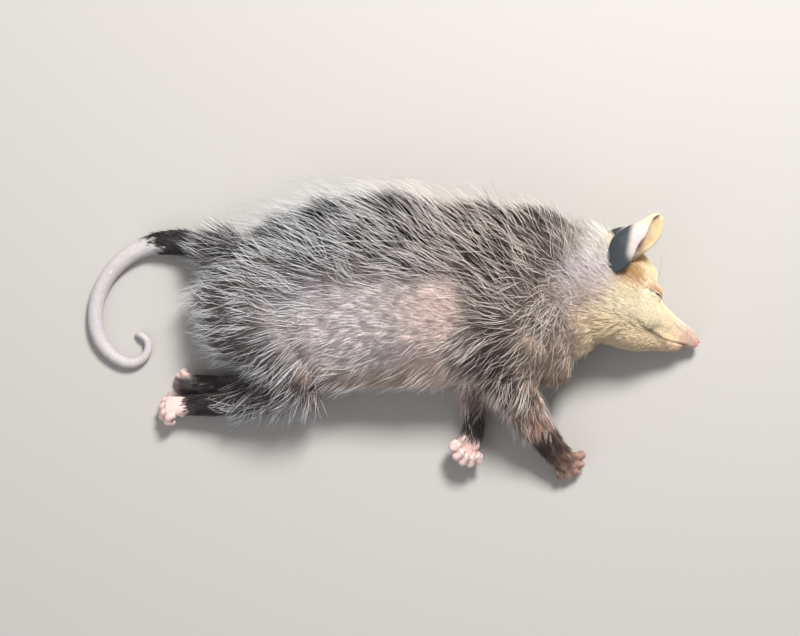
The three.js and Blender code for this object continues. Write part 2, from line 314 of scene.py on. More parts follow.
# Ears: a thin sheet rolled round its own length. Stations: how far along, where the rolled back, the near
# margin and the far margin lie across, and how deep the roll is.
earStations = [
    [-5, 4, -2.5, -2.5, 7], [2, 8, -4.6, -4.5, 9.5], [8, 10.4, -3, -5.8, 10], [14, 9.6, -1.2, -7.2, 9.4],
    [20, 7.4, -0.8, -8, 8], [25, 5.2, 0.8, -7.2, 5.6], [29.5, 3.9, 2, -4.8, 3.6], [32.8, 1.6, 0.7, -1.8, 1.8],
]
earPlaces = {
    "right": {"mirror": 1, "at": [112, 28.2, 41], "axes": turned(48, 2, 0)},
    "left": {"mirror": -1, "at": [108, 31.5, 8.6], "axes": turned(34, 22, -10)},
}
earThickness = 1.15


def rolledEar(name, mirror, at, axes, rows=44, columns=20):
    table = np.array(earStations, float)
    shares = np.linspace(0, 1, rows)
    zero = np.zeros((len(table), 1))
    alongDeep = alongLine(np.hstack([table[:, [0, 4]], zero]), shares)
    edge = alongLine(table[:, 1:4], shares)
    across = np.linspace(-1, 1, columns + 1)
    turn = across * np.pi / 2
    margin = np.where(across[None] > 0, edge[:, 1:2], edge[:, 2:3])
    sheet = np.stack([
        np.repeat(alongDeep[:, :1], columns + 1, 1),
        edge[:, :1] - (edge[:, :1] - margin) * (1 - np.cos(turn)),
        mirror * alongDeep[:, 1:2] * np.sin(turn) / 2,
    ], axis=2)
    outward = unit(np.cross(np.gradient(sheet, axis=1), np.gradient(sheet, axis=0)))
    half = (earThickness / 2 * (1 - 0.3 * across**2))[None, :, None]
    rings = np.concatenate([sheet + outward * half, (sheet - outward * half)[:, ::-1]], axis=1)
    if mirror < 0:
        rings = rings[:, ::-1]
    ends = rings[0].mean(0)[None], rings[-1].mean(0)[None]
    return closedRings(name, *(inFrame(points, axes, at) for points in (rings, *ends)))


for ear in earPlaces.values():
    flesh.append(rolledEar("ear", **ear))

# Legs: their upper part is hidden in the coat, the lower part is slim, and the foot is bare
legs = {
    "foreRight": {
        "upper": [[62, -8, 30, 19, 19], [57, -24, 29, 15, 15], [61, -37, 27, 10, 10]],
        "lower": [[61, -36, 27, 9, 10], [68, -50, 22, 6.4, 7], [78, -65, 14.6, 5.1, 6],
                  [84.5, -73, 11.3, 4.7, 5.8]],
        "foot": {"at": [85.5, -74, 11], "axes": turned(-44, -12, 8), "length": 8, "width": 14, "deep": 8,
                 "digit": 11, "thick": 2.1, "fan": 34, "curl": 52},
    },
    "foreLeft": {
        "upper": [[54, -16, 12, 11, 14], [45, -30, 11, 9.6, 10], [41.5, -42, 9, 7, 7]],
        "lower": [[41.5, -41, 9, 6.4, 6], [40.5, -50, 8, 4.6, 4.4], [39, -61, 8, 4.1, 4]],
        "foot": {"at": [37.5, -65, 8.4], "axes": turned(-118, 0, 165), "length": 8, "width": 15, "deep": 8,
                 "digit": 14, "thick": 2.2, "fan": 30, "curl": 88},
    },
    "hindRight": {
        "upper": [[-68, 2, 28, 19, 20], [-58, -14, 27.5, 17, 18], [-49, -27, 25, 13.5, 13]],
        "lower": [[-51, -29, 22, 12, 11], [-68, -39, 17, 7.6, 7.2], [-86, -44.5, 12.4, 5.4, 5.2],
                  [-111.5, -46.4, 9.8, 4.7, 5.2]],
        "foot": {"at": [-114.5, -46.6, 9.6], "axes": turned(180, -2, 35), "length": 9, "width": 14,
                 "deep": 8.4, "digit": 13, "thick": 2.2, "fan": 26, "curl": 80},
    },
    "hindLeft": {
        "upper": [[-66, -8, 13, 12, 16], [-61, -22, 11, 10, 13], [-63, -31, 9, 8, 8]],
        "lower": [[-62, -30, 8.4, 7.6, 7.6], [-76, -35, 6.4, 6, 5.8], [-90, -36.5, 5.6, 4.9, 4.8],
                  [-107, -36, 5, 4.4, 4.6]],
        "foot": {"at": [-109, -35.6, 5], "axes": turned(178, 0, -20), "length": 7, "width": 11.5, "deep": 8,
                 "digit": 9, "thick": 1.9, "fan": 22, "curl": 60},
    },
}
clawSpots = []  # the toe's tip, the way the claw points, the way to the foot's back, and the toe's thickness


def digitLine(foot, place):
    # a toe's joints, at its place across the foot from -1 to 1
    yaw = math.radians(foot["fan"] * place)
    reach = foot["digit"] * (1 - 0.2 * place * place)
    along = 0.85 * foot["length"] - 0.18 * foot["width"] * place**2
    points = [np.array([along, 0.4 * foot["width"] * place, 0.0])]
    for share in (0.15, 0.9, 1.7):
        bend = math.radians(foot["curl"] * share)
        way = np.array([math.cos(yaw) * math.cos(bend), math.sin(yaw) * math.cos(bend), -math.sin(bend)])
        points.append(points[-1] + way * reach / 3)
    return points


def footBodies(foot):
    length, width, deep, thick = (foot[key] for key in ("length", "width", "deep", "thick"))
    axes = foot["axes"]
    where = {"axes": axes, "at": foot["at"]}
    palm = [[-2, 0, 0, deep * 0.5, 0.36 * width], [0.5 * length, 0, 0, deep * 0.47, 0.44 * width],
            [length, 0, -0.2, 0.38 * deep, 0.44 * width]]
    bodies = [softBody("foot", palm, (2, 1.6), **where, rings=16, sides=28)]
    sideways = np.array([0.0, 1.0, 0.0])
    for place in (-1, -0.5, 0, 0.5, 1):
        points = digitLine(foot, place)
        swellings = (0.98, 0.92, 1.0, 0.86)
        stations = [[*p, thick * s, thick * s] for p, s in zip(points, swellings)]
        between = [[*((a + b) / 2), thick * 0.86, thick * 0.86] for a, b in zip(points[1:], points[2:])]
        stations = [stations[0], stations[1], between[0], stations[2], between[1], stations[3]]
        bodies.append(softBody("foot", stations, (0, thick * 0.8), sideways, **where, rings=18, sides=16))
        tip = points[-1]
        way = unit(points[-1] - points[-2] + 0.9 * (points[-2] - points[-3]))
        backWay = unit(np.cross(way, sideways))
        backWay = backWay if backWay[2] > 0 or abs(way[2]) > 0.9 else -backWay
        clawSpots.append({"tip": axes @ tip + foot["at"] + middle, "way": axes @ way, "back": axes @ backWay,
                          "thick": thick})
        pad = tip * 0.7 + points[-2] * 0.3 - backWay * thick * 0.45
        bodies.append(ball("foot", pad, (thick * 0.8, thick * 0.62, thick * 0.52), **where))
    for place in (-0.75, -0.25, 0.25, 0.75):
        pad = np.array([0.82 * length, 0.4 * width * place, -0.3 * deep])
        bodies.append(ball("foot", pad, (2.4, 1.5, 1.5), **where))
    for place in (-0.5, 0.5):
        pad = np.array([0.16 * length, 0.46 * width * place, -0.3 * deep])
        bodies.append(ball("foot", pad, (3.2, 2.2, 1.7), **where))
    return bodies


for leg in legs.values():
    flesh.append(softBody("upper", leg["upper"], (7, 6), rings=24))
    flesh.append(softBody("lower", leg["lower"], (4, 2.5), rings=30))
    flesh += footBodies(leg["foot"])

# Tail: it leaves the rump, sinks to the floor and bends ever tighter into a hook
tailStart = {"at": np.array([-78.0, 26.0, 24.0]), "heading": 151, "sink": 21, "radius": 12}
tailLengths = [  # length, bend in degrees, radius at its end
    (34, 14, 7.2), (27, 34, 4.9), (27, 38, 4.4), (27, 40, 4.0), (25, 60, 3.0), (16, 92, 2.3), (12, 105, 1.7),
]


def tailWalk(steps=6):
    place = tailStart["at"][:2].copy()
    heading, radius, gone = tailStart["heading"], tailStart["radius"], 0.0
    stations = []
    for length, bend, endRadius in tailLengths:
        for i in range(steps):
            share = i / steps
            thick = radius + (endRadius - radius) * share
            along = gone + share * length
            lift = max(thick - 0.3, tailStart["at"][2] - tailStart["sink"] * min(1, along / 48))
            stations.append([along, place[0], place[1], lift, thick])
            turn = math.radians(heading + bend * (share + 0.5 / steps))
            place = place + length / steps * np.array([math.cos(turn), math.sin(turn)])
        heading, radius, gone = heading + bend, endRadius, gone + length
    stations.append([gone, place[0], place[1], radius - 0.3, radius])
    return np.array(stations)


tailPath = tailWalk()
tailCoat = 0.05 + 3.45 * (1 - smoothStep(20, 44, tailPath[:, 0]))
tailReach = np.maximum(tailPath[:, 4] - tailCoat, 1.1)
tailStations = np.column_stack([tailPath[:, 1:4], tailReach, tailReach])
flesh.append(softBody("tail", tailStations, (3, 1.5), rings=240, sides=24))

# One skin over it all
skinSizes = {
    "voxel": 0.6 * mm, "rest": 0.12 * mm, "faces": 150000, "unwrapAngle": 66, "unwrapGap": 0.001,
    "allRounds": 6, "furRounds": 40, "headRounds": 34, "earRounds": 36, "bodyRounds": 80,
}
labelNames = sorted({body.name.split(".")[0] for body in flesh})
labelPlaces = np.concatenate([placesOf(body) for body in flesh])
labelNumbers = np.concatenate([
    np.full(len(body.data.vertices), labelNames.index(body.name.split(".")[0])) for body in flesh])
skin = joined(flesh, "skin")
skin.data.name = "skin"
applyModifier(skin, "REMESH", mode="VOXEL", voxel_size=skinSizes["voxel"], adaptivity=0.0)
places = placesOf(skin)
edges = edgesOf(skin)
labels = labelNumbers[nearest(labelPlaces, places)]


def among(*names):
    return np.isin(labels, [labelNames.index(name) for name in names]).astype(float)


bodyParts = ("trunk", "neck", "upper")
headParts = ("skull", "cheek", "orbit", "jaw", "whiskerPad")
furry = softened(among(*bodyParts, *headParts), edges, 6)[:, None]
deep = softened(among(*bodyParts), edges, 30)[:, None]
earSoft = softened(among("ear"), edges, 3)[:, None]
headSoft = softened(among(*headParts), edges, 14)[:, None]
places = softened(places, edges, skinSizes["allRounds"], keepSize=True)
places += furry * (softened(places, edges, skinSizes["furRounds"], keepSize=True) - places)
places += headSoft * (softened(places, edges, skinSizes["headRounds"]) - places)
places += earSoft * (softened(places, edges, skinSizes["earRounds"], keepSize=True) - places)
places += deep * (softened(places, edges, skinSizes["bodyRounds"]) - places)
places[:, 2] = np.maximum(places[:, 2], skinSizes["rest"])
moveTo(skin, places)
print("skin joined:", len(skin.data.vertices), "points")

# Face: finer mesh round the eyes, nose and mouth, then lids, lips and nostrils pressed into it
face = {
    "slitLength": 4.8, "slitOpen": 0.34, "lidThick": 0.38, "lidReach": 5.0, "foldDeep": 0.3,
    "lipGroove": 0.95, "lipSwell": 0.45, "nostrilDeep": 1.3, "nostrilWide": 0.62,
}
mouthLine = np.array([
    [-42, -14.6, 0], [-33, -14.4, 0], [-26, -13.4, 0], [-19, -11.8, 0], [-13, -9.6, 0], [-7, -7.2, 0],
    [-2, -6.2, 0],
])
mouthCurve = alongLine(mouthLine, np.linspace(0, 1, 80))


def eyeAxes(mirror):
    # where the eye is in the head, then forwards along the slit, up across it, and out of the head
    outward = unit(np.array([0.34, 0.16, 0.93 * mirror]))
    slit = np.array([0.93, 0.02, -0.38 * mirror])
    slit = unit(slit - outward * (slit @ outward))
    across = np.cross(outward, slit) * mirror
    spot = np.array([-eyePlace["back"], eyePlace["above"], mirror * eyePlace["aside"]])
    return spot, slit, across, outward


def subdivideNear(piece, isNear, cuts=1):
    makeActive(piece)
    bpy.ops.object.mode_set(mode="EDIT")
    bpy.ops.mesh.select_mode(type="VERT")
    bpy.ops.mesh.select_all(action="DESELECT")
    bpy.ops.object.mode_set(mode="OBJECT")
    piece.data.vertices.foreach_set("select", isNear)
    bpy.ops.object.mode_set(mode="EDIT")
    bpy.ops.mesh.select_mode(type="VERT")
    bpy.ops.mesh.subdivide(number_cuts=cuts)
    bpy.ops.object.mode_set(mode="OBJECT")


def nearFace(local, eyeReach, lipReach, noseReach):
    near = np.linalg.norm(local - [-1.5, -1.6, 0], axis=1) < noseReach
    for mirror in (1, -1):
        near |= np.linalg.norm(local - eyeAxes(mirror)[0], axis=1) < eyeReach
    lip = np.interp(local[:, 0], mouthCurve[:, 0], mouthCurve[:, 1])
    near |= (np.abs(local[:, 1] - lip) < lipReach) & (local[:, 0] > -44) & (np.abs(local[:, 2]) < 16)
    return near


def bell(values, centre, width):
    return np.exp(-(((values - centre) / width) ** 2))


def pressMouth(local, outwards):
    # a groove between the lips, which swell above and below it
    aside = np.abs(local[:, 2])
    fromLip = local[:, 1] - np.interp(local[:, 0], mouthCurve[:, 0], mouthCurve[:, 1])
    span = smoothStep(-43, -39, local[:, 0]) * (aside < 17) * smoothStep(0.8, 2.2, aside)
    groove = -face["lipGroove"] * bell(fromLip, 0, 0.42)
    swell = face["lipSwell"] * (bell(fromLip, 1.5, 0.9) + 0.5 * bell(fromLip, -1.3, 0.8))
    return local + outwards * (span * (groove + swell))[:, None]


def pressNostril(local, mirror):
    # a hole that opens forwards, and the slit behind it
    for spot, reach, share in (((0.3, -1.4, 2.5), 1.0, 1.0), ((-1.5, -0.7, 3.6), 0.9, 0.6)):
        gap = np.linalg.norm(local - np.array(spot) * [1, 1, mirror], axis=1)
        push = face["nostrilDeep"] * share * bell(gap, 0, face["nostrilWide"] * reach)
        local = local + push[:, None] * np.array([-0.75, 0.1, -0.65 * mirror])
    return local


def shapeLids(local, mirror):
    # lids that hug the eyeball and leave a slit, with folds round them and a dent at each corner
    spot, slit, across, outward = eyeAxes(mirror)
    offset = local - spot
    along, over, out = offset @ slit, offset @ across, offset @ outward
    gap = np.hypot(along, over)
    opening = face["slitOpen"] * np.maximum(0, 1 - (along / face["slitLength"]) ** 2)
    radius = eyePlace["radius"]
    outside = out > -1.5
    inside = np.clip((opening + 0.14 - np.abs(over)) / 0.28, 0, 1) * (opening > 0)
    dome = np.sqrt(np.maximum((radius + face["lidThick"]) ** 2 - gap**2, 0.0))
    hug = (1 - smoothStep(radius - 1.2, face["lidReach"], gap)) * outside
    lift = np.where(dome > out, hug * (dome - out), (1 - smoothStep(0.5, 3.5, gap)) * outside * (dome - out))
    lift += 0.26 * bell(np.abs(over) - opening, 0.42, 0.3) * hug
    for fold, reach in ((2.2, 6.0), (-1.9, 5.5), (3.5, 6.5)):
        arc = fold * (1 - (along / reach) ** 2)
        lift -= face["foldDeep"] * bell(over, arc, 0.32) * outside * (1 - smoothStep(3.5, 6, gap))
    pit = np.sqrt(np.maximum((radius - 0.55) ** 2 - gap**2, 0.0))
    lift = lift * (1 - inside) + inside * outside * (pit - out)
    corner = bell(np.hypot(np.abs(along) - face["slitLength"] - 0.35, over), 0, 0.6) * (out > 0)
    return local + outward * lift[:, None] - outward * (0.35 * corner)[:, None]


for reach in ((8.0, 3.0, 6.5), (6.6, 1.8, 5.5)):
    subdivideNear(skin, nearFace(inHead(placesOf(skin)), *reach))
places = placesOf(skin)
edges = edgesOf(skin)
faceSpots = pressMouth(inHead(places), normalsOf(places, trianglesOf(skin)) @ headAxes)
for mirror in (1, -1):
    faceSpots = shapeLids(pressNostril(faceSpots, mirror), mirror)
places = softened(fromHead(faceSpots), edges, 1, 0.25)
places[:, 2] = np.maximum(places[:, 2], skinSizes["rest"])
moveTo(skin, places)
print("face shaped:", len(places), "points")

# Fewer faces where the form is smooth, and an unwrap of the skin for the places of the tufts
applyModifier(skin, "DECIMATE", ratio=skinSizes["faces"] / (2 * len(places)))
applyModifier(skin, "TRIANGULATE")
editAll(skin)
unwrapAngle = math.radians(skinSizes["unwrapAngle"])
bpy.ops.uv.smart_project(angle_limit=unwrapAngle, island_margin=skinSizes["unwrapGap"])
leaveEdit()
bpy.ops.object.shade_smooth()
places = placesOf(skin)
edges = edgesOf(skin)
triangles = trianglesOf(skin)
normals = normalsOf(places, triangles)
labels = labelNumbers[nearest(labelPlaces, places)]
unwrapped = np.empty(len(skin.data.loops) * 2, np.float32)
skin.data.uv_layers.active.data.foreach_get("uv", unwrapped)
cornerLoops = np.empty(len(skin.data.loop_triangles) * 3, np.int32)
skin.data.loop_triangles.foreach_get("loops", cornerLoops)
cornerSpots = unwrapped.reshape(-1, 2)[cornerLoops].reshape(-1, 3, 2)
print("skin unwrapped:", len(triangles), "faces")

# How the coat lies. A row: place, the way the hair points, lift in degrees, length in mm, share of long white
# hairs, how tangled it is, and the colour of the underfur there.
palette = {
    "black": (32, 30, 33), "slate": (62, 58, 60), "grey": (146, 138, 140), "silk": (246, 236, 236),
    "pink": (250, 226, 218), "lilac": (218, 210, 216), "smoke": (130, 120, 118), "umber": (84, 74, 71),
    "fawn": (208, 186, 168), "belly": (216, 196, 174), "taupe": (152, 136, 128), "cream": (255, 244, 216),
    "straw": (248, 219, 170), "tan": (204, 162, 112), "blush": (222, 200, 188), "throat": (254, 234, 202),
    # ruffAndHighlight is the neck's white ruff, and also a painted highlight on the snout's bridge
    "ruffAndHighlight": (252, 248, 244), "rosy": (204, 164, 146), "hair": (244, 245, 248), "flesh": (234, 206, 202),
    "paw": (182, 146, 130), "pinkTail": (206, 200, 202), "earDark": (52, 58, 64), "earPale": (198, 188, 184),
    # dusk is a dusky brown, and also painted shadow inside the ears
    "earInside": (224, 206, 164), "nosePink": (212, 160, 148), "dusk": (104, 76, 60),
    # crease is painted shade for the bare skin's hollows
    "crease": (176, 104, 98), "warmHair": (250, 238, 230), "soot": (74, 68, 68),
}
coatGuides = [
    (-70, 50, 28, -0.85, 0.45, 0.10, 28, 21, 0.7, 0.08, "slate"),
    (-45, 60, 29, -0.80, 0.55, 0.05, 35, 25, 0.7, 0.08, "black"),
    (-15, 70, 30, -0.75, 0.65, 0.00, 38, 27, 0.7, 0.10, "black"),
    (20, 70, 30, -0.70, 0.70, 0.00, 40, 27, 0.7, 0.10, "black"),
    (60, 62, 28, -0.50, 0.85, 0.00, 44, 24, 0.6, 0.18, "black"),
    (88, 55, 28, -0.35, 0.93, 0.00, 40, 18, 0.5, 0.25, "black"),
    (-65, 38, 46, -0.88, 0.45, 0.10, 22, 18, 0.8, 0.10, "smoke"),
    (-35, 45, 49, -0.85, 0.50, 0.10, 24, 18, 0.85, 0.08, "slate"),
    (-8, 50, 50, -0.83, 0.55, 0.10, 25, 18, 0.85, 0.10, "black"),
    (22, 50, 50, -0.80, 0.60, 0.10, 26, 18, 0.85, 0.12, "black"),
    (22, 34, 54, -0.90, 0.40, 0.10, 20, 16, 0.8, 0.10, "slate"),
    (58, 44, 50, -0.75, 0.62, 0.10, 30, 18, 0.85, 0.20, "black"),
    (82, 40, 46, -0.80, 0.50, 0.10, 28, 16, 0.8, 0.40, "umber"),
    (-12, 32, 54, -0.95, 0.30, 0.00, 16, 15, 0.7, 0.05, "smoke"),
    (-78, 18, 44, -1.00, 0.05, 0.00, 20, 16, 0.8, 0.15, "smoke"),
    (-50, 20, 50, -0.98, 0.15, 0.00, 14, 15, 0.7, 0.08, "grey"),
    (-30, 12, 54, -1.00, 0.02, 0.00, 8, 16, 0.45, 0.03, "lilac"),
    (-4, 16, 55, -1.00, 0.08, 0.00, 6, 16, 0.3, 0.02, "silk"),
    (14, 18, 55, -0.98, 0.15, 0.00, 6, 15, 0.25, 0.02, "silk"),
    (30, 16, 54, -0.96, 0.25, 0.00, 7, 14, 0.25, 0.03, "pink"),
    (53, 20, 53, -0.93, 0.35, 0.00, 18, 14, 0.7, 0.20, "umber"),
    (64, 18, 52, -0.90, 0.20, 0.00, 20, 15, 0.8, 0.30, "smoke"),
    (84, 18, 46, -0.60, -0.35, 0.10, 26, 15, 1.0, 0.90, "taupe"),
    (98, 26, 42, -0.80, 0.20, 0.10, 22, 12, 0.5, 0.70, "lilac"),
    (-72, -4, 44, -0.92, -0.35, 0.00, 18, 15, 0.7, 0.15, "smoke"),
    (-48, -2, 48, -0.92, -0.38, 0.00, 14, 14, 0.6, 0.06, "grey"),
    (-24, -6, 49, -0.88, -0.45, 0.00, 7, 15, 0.4, 0.03, "silk"),
    (0, -6, 49, -0.86, -0.50, 0.00, 6, 14, 0.3, 0.02, "silk"),
    (22, -4, 50, -0.85, -0.50, 0.00, 7, 14, 0.3, 0.02, "pink"),
    (46, -5, 49, -0.75, -0.65, 0.00, 16, 14, 0.8, 0.15, "smoke"),
    (60, -12, 52, -0.60, -0.75, 0.00, 18, 14, 0.8, 0.15, "umber"),
    (76, -4, 44, -0.35, -0.88, 0.00, 16, 13, 0.5, 0.30, "fawn"),
    (92, 4, 40, -0.25, -0.90, 0.00, 18, 11, 0.4, 0.40, "blush"),
    (-28, -18, 42, -0.70, -0.70, -0.10, 18, 14, 0.6, 0.08, "fawn"),
    (-42, -18, 44, -0.62, -0.76, -0.10, 20, 15, 0.8, 0.12, "taupe"),
    (4, -19, 42, -0.70, -0.70, -0.10, 13, 13, 0.5, 0.06, "fawn"),
    (28, -18, 42, -0.70, -0.70, -0.10, 14, 13, 0.5, 0.08, "pink"),
    (-26, -27, 30, -0.45, -0.75, -0.30, 32, 13, 0.8, 0.10, "belly"),
    (-46, -22, 34, -0.50, -0.80, -0.20, 24, 14, 0.8, 0.15, "smoke"),
    (0, -29, 30, -0.50, -0.70, -0.30, 32, 12, 0.8, 0.10, "belly"),
    (28, -28, 30, -0.50, -0.70, -0.30, 32, 12, 0.7, 0.10, "belly"),
    (90, -16, 25, 0.25, -0.85, -0.20, 32, 12, 0.4, 0.20, "fawn"),
    (-62, -14, 48, -0.83, -0.50, 0.00, 18, 16, 0.7, 0.15, "smoke"),
    (-48, -25, 40, -0.42, -0.88, -0.15, 22, 14, 0.7, 0.20, "smoke"),
    (-68, -32, 34, -0.80, -0.55, -0.10, 20, 13, 0.7, 0.15, "umber"),
    (-88, -44, 18, -0.97, -0.20, 0.00, 15, 8, 0.3, 0.10, "soot"),
    (-112, -46, 12, -1.00, 0.00, 0.00, 8, 3, 0.0, 0.05, "umber"),
    (-90, -36, 6, -1.00, -0.05, 0.00, 13, 7, 0.2, 0.10, "soot"),
    (-110, -35, 6, -1.00, -0.05, 0.00, 8, 3, 0.0, 0.05, "slate"),
    (66, -30, 42, -0.10, -0.95, -0.20, 18, 12, 0.8, 0.12, "taupe"),
    (72, -42, 34, 0.20, -0.95, -0.20, 16, 9, 0.6, 0.12, "rosy"),
    (80, -58, 24, 0.55, -0.80, -0.15, 18, 6.5, 0.08, 0.10, "umber"),
    (87, -71, 16, 0.65, -0.75, -0.10, 16, 4.5, 0.0, 0.12, "paw"),
    (44, -42, 18, -0.10, -0.95, -0.10, 18, 9, 0.4, 0.12, "soot"),
    (43, -58, 12, -0.10, -0.95, -0.05, 12, 6, 0.05, 0.08, "smoke"),
    (-96, 12, 26, -1.00, 0.05, 0.00, 22, 11, 0.7, 0.15, "smoke"),
    (-92, 32, 24, -0.95, 0.28, 0.00, 15, 18, 0.9, 0.08, "smoke"),
    (-108, 46, 18, -0.88, 0.45, 0.00, 10, 5, 0.3, 0.05, "slate"),
    (98, 52, 34, -0.60, 0.75, 0.10, 32, 14, 0.3, 0.20, "taupe"),
    (108, 50, 32, -0.50, 0.80, 0.10, 36, 12, 0.0, 0.20, "ruffAndHighlight"),
    (108, 42, 40, -0.70, 0.65, 0.10, 30, 11, 0.0, 0.20, "ruffAndHighlight"),
    (106, 30, 42, -0.80, 0.30, 0.10, 24, 10, 0.1, 0.25, "lilac"),
]
headGuides = [  # the same, placed and pointed in the head's own frame
    (-70, 6, 18, -0.90, 0.30, 0.10, 18, 6, 0.0, 0.10, "ruffAndHighlight"),
    (-70, -4, 20, -0.95, 0.00, 0.10, 16, 6.5, 0.05, 0.15, "lilac"),
    (-68, -16, 14, -0.95, -0.20, 0.10, 16, 7, 0.1, 0.15, "blush"),
    (-60, 12, 12, -0.95, 0.25, 0.10, 16, 4.5, 0.0, 0.05, "straw"),
    (-54, 5, 18, -0.97, 0.15, 0.10, 13, 4, 0.0, 0.05, "tan"),
    (-47, 9, 13, -0.95, 0.20, 0.10, 14, 3.6, 0.0, 0.05, "cream"),
    (-46, 14, 4, -0.92, 0.35, 0.00, 32, 4.2, 0.0, 0.08, "straw"),
    (-47, 6.5, 16, -0.97, 0.15, 0.10, 12, 3, 0.0, 0.03, "tan"),
    (-40, -4, 17, -0.98, -0.05, 0.15, 11, 3, 0.0, 0.03, "cream"),
    (-52, -4, 20, -0.98, -0.05, 0.10, 13, 4, 0.0, 0.05, "cream"),
    (-54, -14, 18, -0.95, -0.20, 0.05, 14, 4.5, 0.0, 0.05, "cream"),
    (-38, -12, 14, -0.97, -0.12, 0.10, 11, 3, 0.0, 0.03, "cream"),
    (-30, 1, 11, -0.97, 0.05, 0.20, 10, 2.4, 0.0, 0.03, "straw"),
    (-28, -8, 11, -0.98, -0.05, 0.15, 10, 2.4, 0.0, 0.03, "cream"),
    (-18, -1, 7, -0.97, 0.10, 0.20, 8, 2.4, 0.0, 0.03, "straw"),
    (-16, -6, 7, -0.98, -0.05, 0.15, 8, 2.3, 0.0, 0.03, "throat"),
    (-8, -1, 5, -0.97, 0.10, 0.20, 6, 1.9, 0.0, 0.03, "blush"),
    (-8, -5, 4, -0.98, 0.00, 0.15, 6, 1.8, 0.0, 0.03, "rosy"),
    (-14, -12, 3, -0.98, -0.10, 0.10, 18, 2.4, 0.0, 0.03, "throat"),
    (-30, -19, 5, -0.88, -0.45, 0.05, 36, 4.4, 0.0, 0.08, "throat"),
    (-46, -24, 7, -0.80, -0.58, 0.00, 42, 6, 0.0, 0.12, "throat"),
    (-60, -26, 4, -0.78, -0.60, 0.00, 42, 8, 0.1, 0.15, "throat"),
]


def paint(name):
    # a palette colour as light, from 0 to 1
    shade = np.array(palette[name]) / 255
    return np.where(shade <= 0.04045, shade / 12.92, ((shade + 0.055) / 1.055) ** 2.4)


def guideTable():
    rows = []
    for row in coatGuides:
        rows.append(row)
        if row[2] > 30 and row[1] > -40:  # the side it lies on has the same coat, pressed flat
            rows.append((row[0], row[1], 52 - row[2], *row[3:5], -row[5], row[6] * 0.3, *row[7:]))
    for row in headGuides:
        for mirror in (1, -1):
            spot = fromHead(np.array([row[0], row[1], row[2] * mirror])) / mm
            way = headAxes @ np.array([row[3], row[4], row[5] * mirror])
            rows.append((*spot, *way, *row[6:]))
    numbers = np.array([row[:10] for row in rows], float)
    return numbers, np.array([paint(row[10]) for row in rows])


guideNumbers, guidePaints = guideTable()


def fromGuides(spots, reach=9.0, atOnce=20000):
    # ways, lifts, lengths, shares of long hairs, tangle and colours at places in mm, from the rows near them
    out = np.empty((len(spots), 10))
    values = np.hstack([guideNumbers[:, 3:], guidePaints])
    for start in range(0, len(spots), atOnce):
        part = spots[start:start + atOnce]
        gap = ((part[:, None] - guideNumbers[None, :, :3]) ** 2).sum(2)
        weight = (gap + reach**2) ** -3.0
        out[start:start + atOnce] = weight @ values / weight.sum(1)[:, None]
    return out[:, :3], out[:, 3], out[:, 4], out[:, 5], out[:, 6], out[:, 7:]


# Markings, shared by skin and coat: a centre and a reach along each axis in mm, a colour and a strength. The
# last one is a painted highlight on the snout's bridge
markings = [
    ((-10, 10, 54), (40, 14, 18), "silk", 0.85), ((30, 15, 54), (18, 11, 16), "pink", 0.6),
    ((57, 6, 52), (11, 22, 14), "umber", 0.6), ((75, -40, 34), (8, 7, 12), "rosy", 0.5),
    ((30, 24, 54), (10, 5, 9), "silk", 0.35), ((88, -70, 14), (9, 8, 9), "dusk", 0.6),
    # painted highlight: the white patch at (149, 10, 14) on the snout's bridge
    ((132, 20, 26), (9, 8, 12), "ruffAndHighlight", 0.5), ((149, 10, 14), (7, 6, 8), "ruffAndHighlight", 0.4),
]
headMarkings = [
    ((-54, 3.5, 19.8), (9, 5, 7), "tan", 0.75), ((-53.4, -14.4, 19.6), (2.0, 1.4, 4), "dusk", 0.3),
    ((-40, -5, 17), (11, 7, 8), "cream", 0.6), ((-36, 4.5, 13), (5, 1.6, 5), "tan", 0.8),
    ((-24, -13, 8), (14, 1.6, 6), "dusk", 0.55),
]


def marked(spots, colours):
    # the head's markings are the same on both its sides
    local = inHead(spots * mm)
    folded = np.column_stack([local[:, :2], np.abs(local[:, 2])])
    onHead = local[:, 0] > -90
    for table, where, there in ((markings, spots, 1), (headMarkings, folded, onHead)):
        for centre, reach, name, strength in table:
            far = (((where - centre) / reach) ** 2).sum(1)
            share = strength * np.exp(-(far**1.5) / 1.5) * there
            colours = colours + share[:, None] * (paint(name) - colours)
    return colours


def patchy(spots, size):
    # soft uneven patches, from 0 to 1
    x, y, z = (np.asarray(spots) / size).T
    wave = np.sin(1.7 * x + 1.3 * np.sin(1.1 * y + 0.7 * z)) + np.sin(1.9 * y + 1.1 * np.sin(1.3 * z + x))
    return smoothStep(-1.1, 1.1, wave)


# The skin's colours: the coat's where it is furred, bare feet and nose, two-coloured ears and tail, and
# painted shade in the ears' cups and the bare skin's hollows
spots = places / mm


def softMask(*names, rounds=4):
    return softened(among(*names), edges, rounds)


tailMask = softMask("tail")
onTail = tailMask > 0.01
tailPlaces = (tailStations[:, :3] + middle) * mm
tailTree = treeOf(tailPlaces)
tailNearest = np.array([tailTree.find(place)[1] if near else 0 for place, near in zip(places, onTail)])
alongTail = tailPath[tailNearest, 0] * onTail
acrossTail = (spots[:, 1] - tailStations[tailNearest, 1] - middle[1]) * onTail
furEnd = 54.5 + 0.75 * acrossTail + 7 * (patchy(spots, 1.5) - 0.5)  # the dark fur ends on a ragged slant
footMask = softMask("foot", rounds=6)
foreRight = footMask * (spots[:, 0] > 66)
rightPaw = legs["foreRight"]["foot"]
pastWrist = ((spots - middle - rightPaw["at"]) @ rightPaw["axes"])[:, 0]
hindLeft = footMask * (spots[:, 0] < -60) * (spots[:, 1] > -30.5)
paleRim = smoothStep(-22, -18, spots[:, 1]) * (1 - smoothStep(-112, -104, spots[:, 0]))
noseMask = softMask("nose", rounds=2)
earMask = softMask("ear", rounds=2)
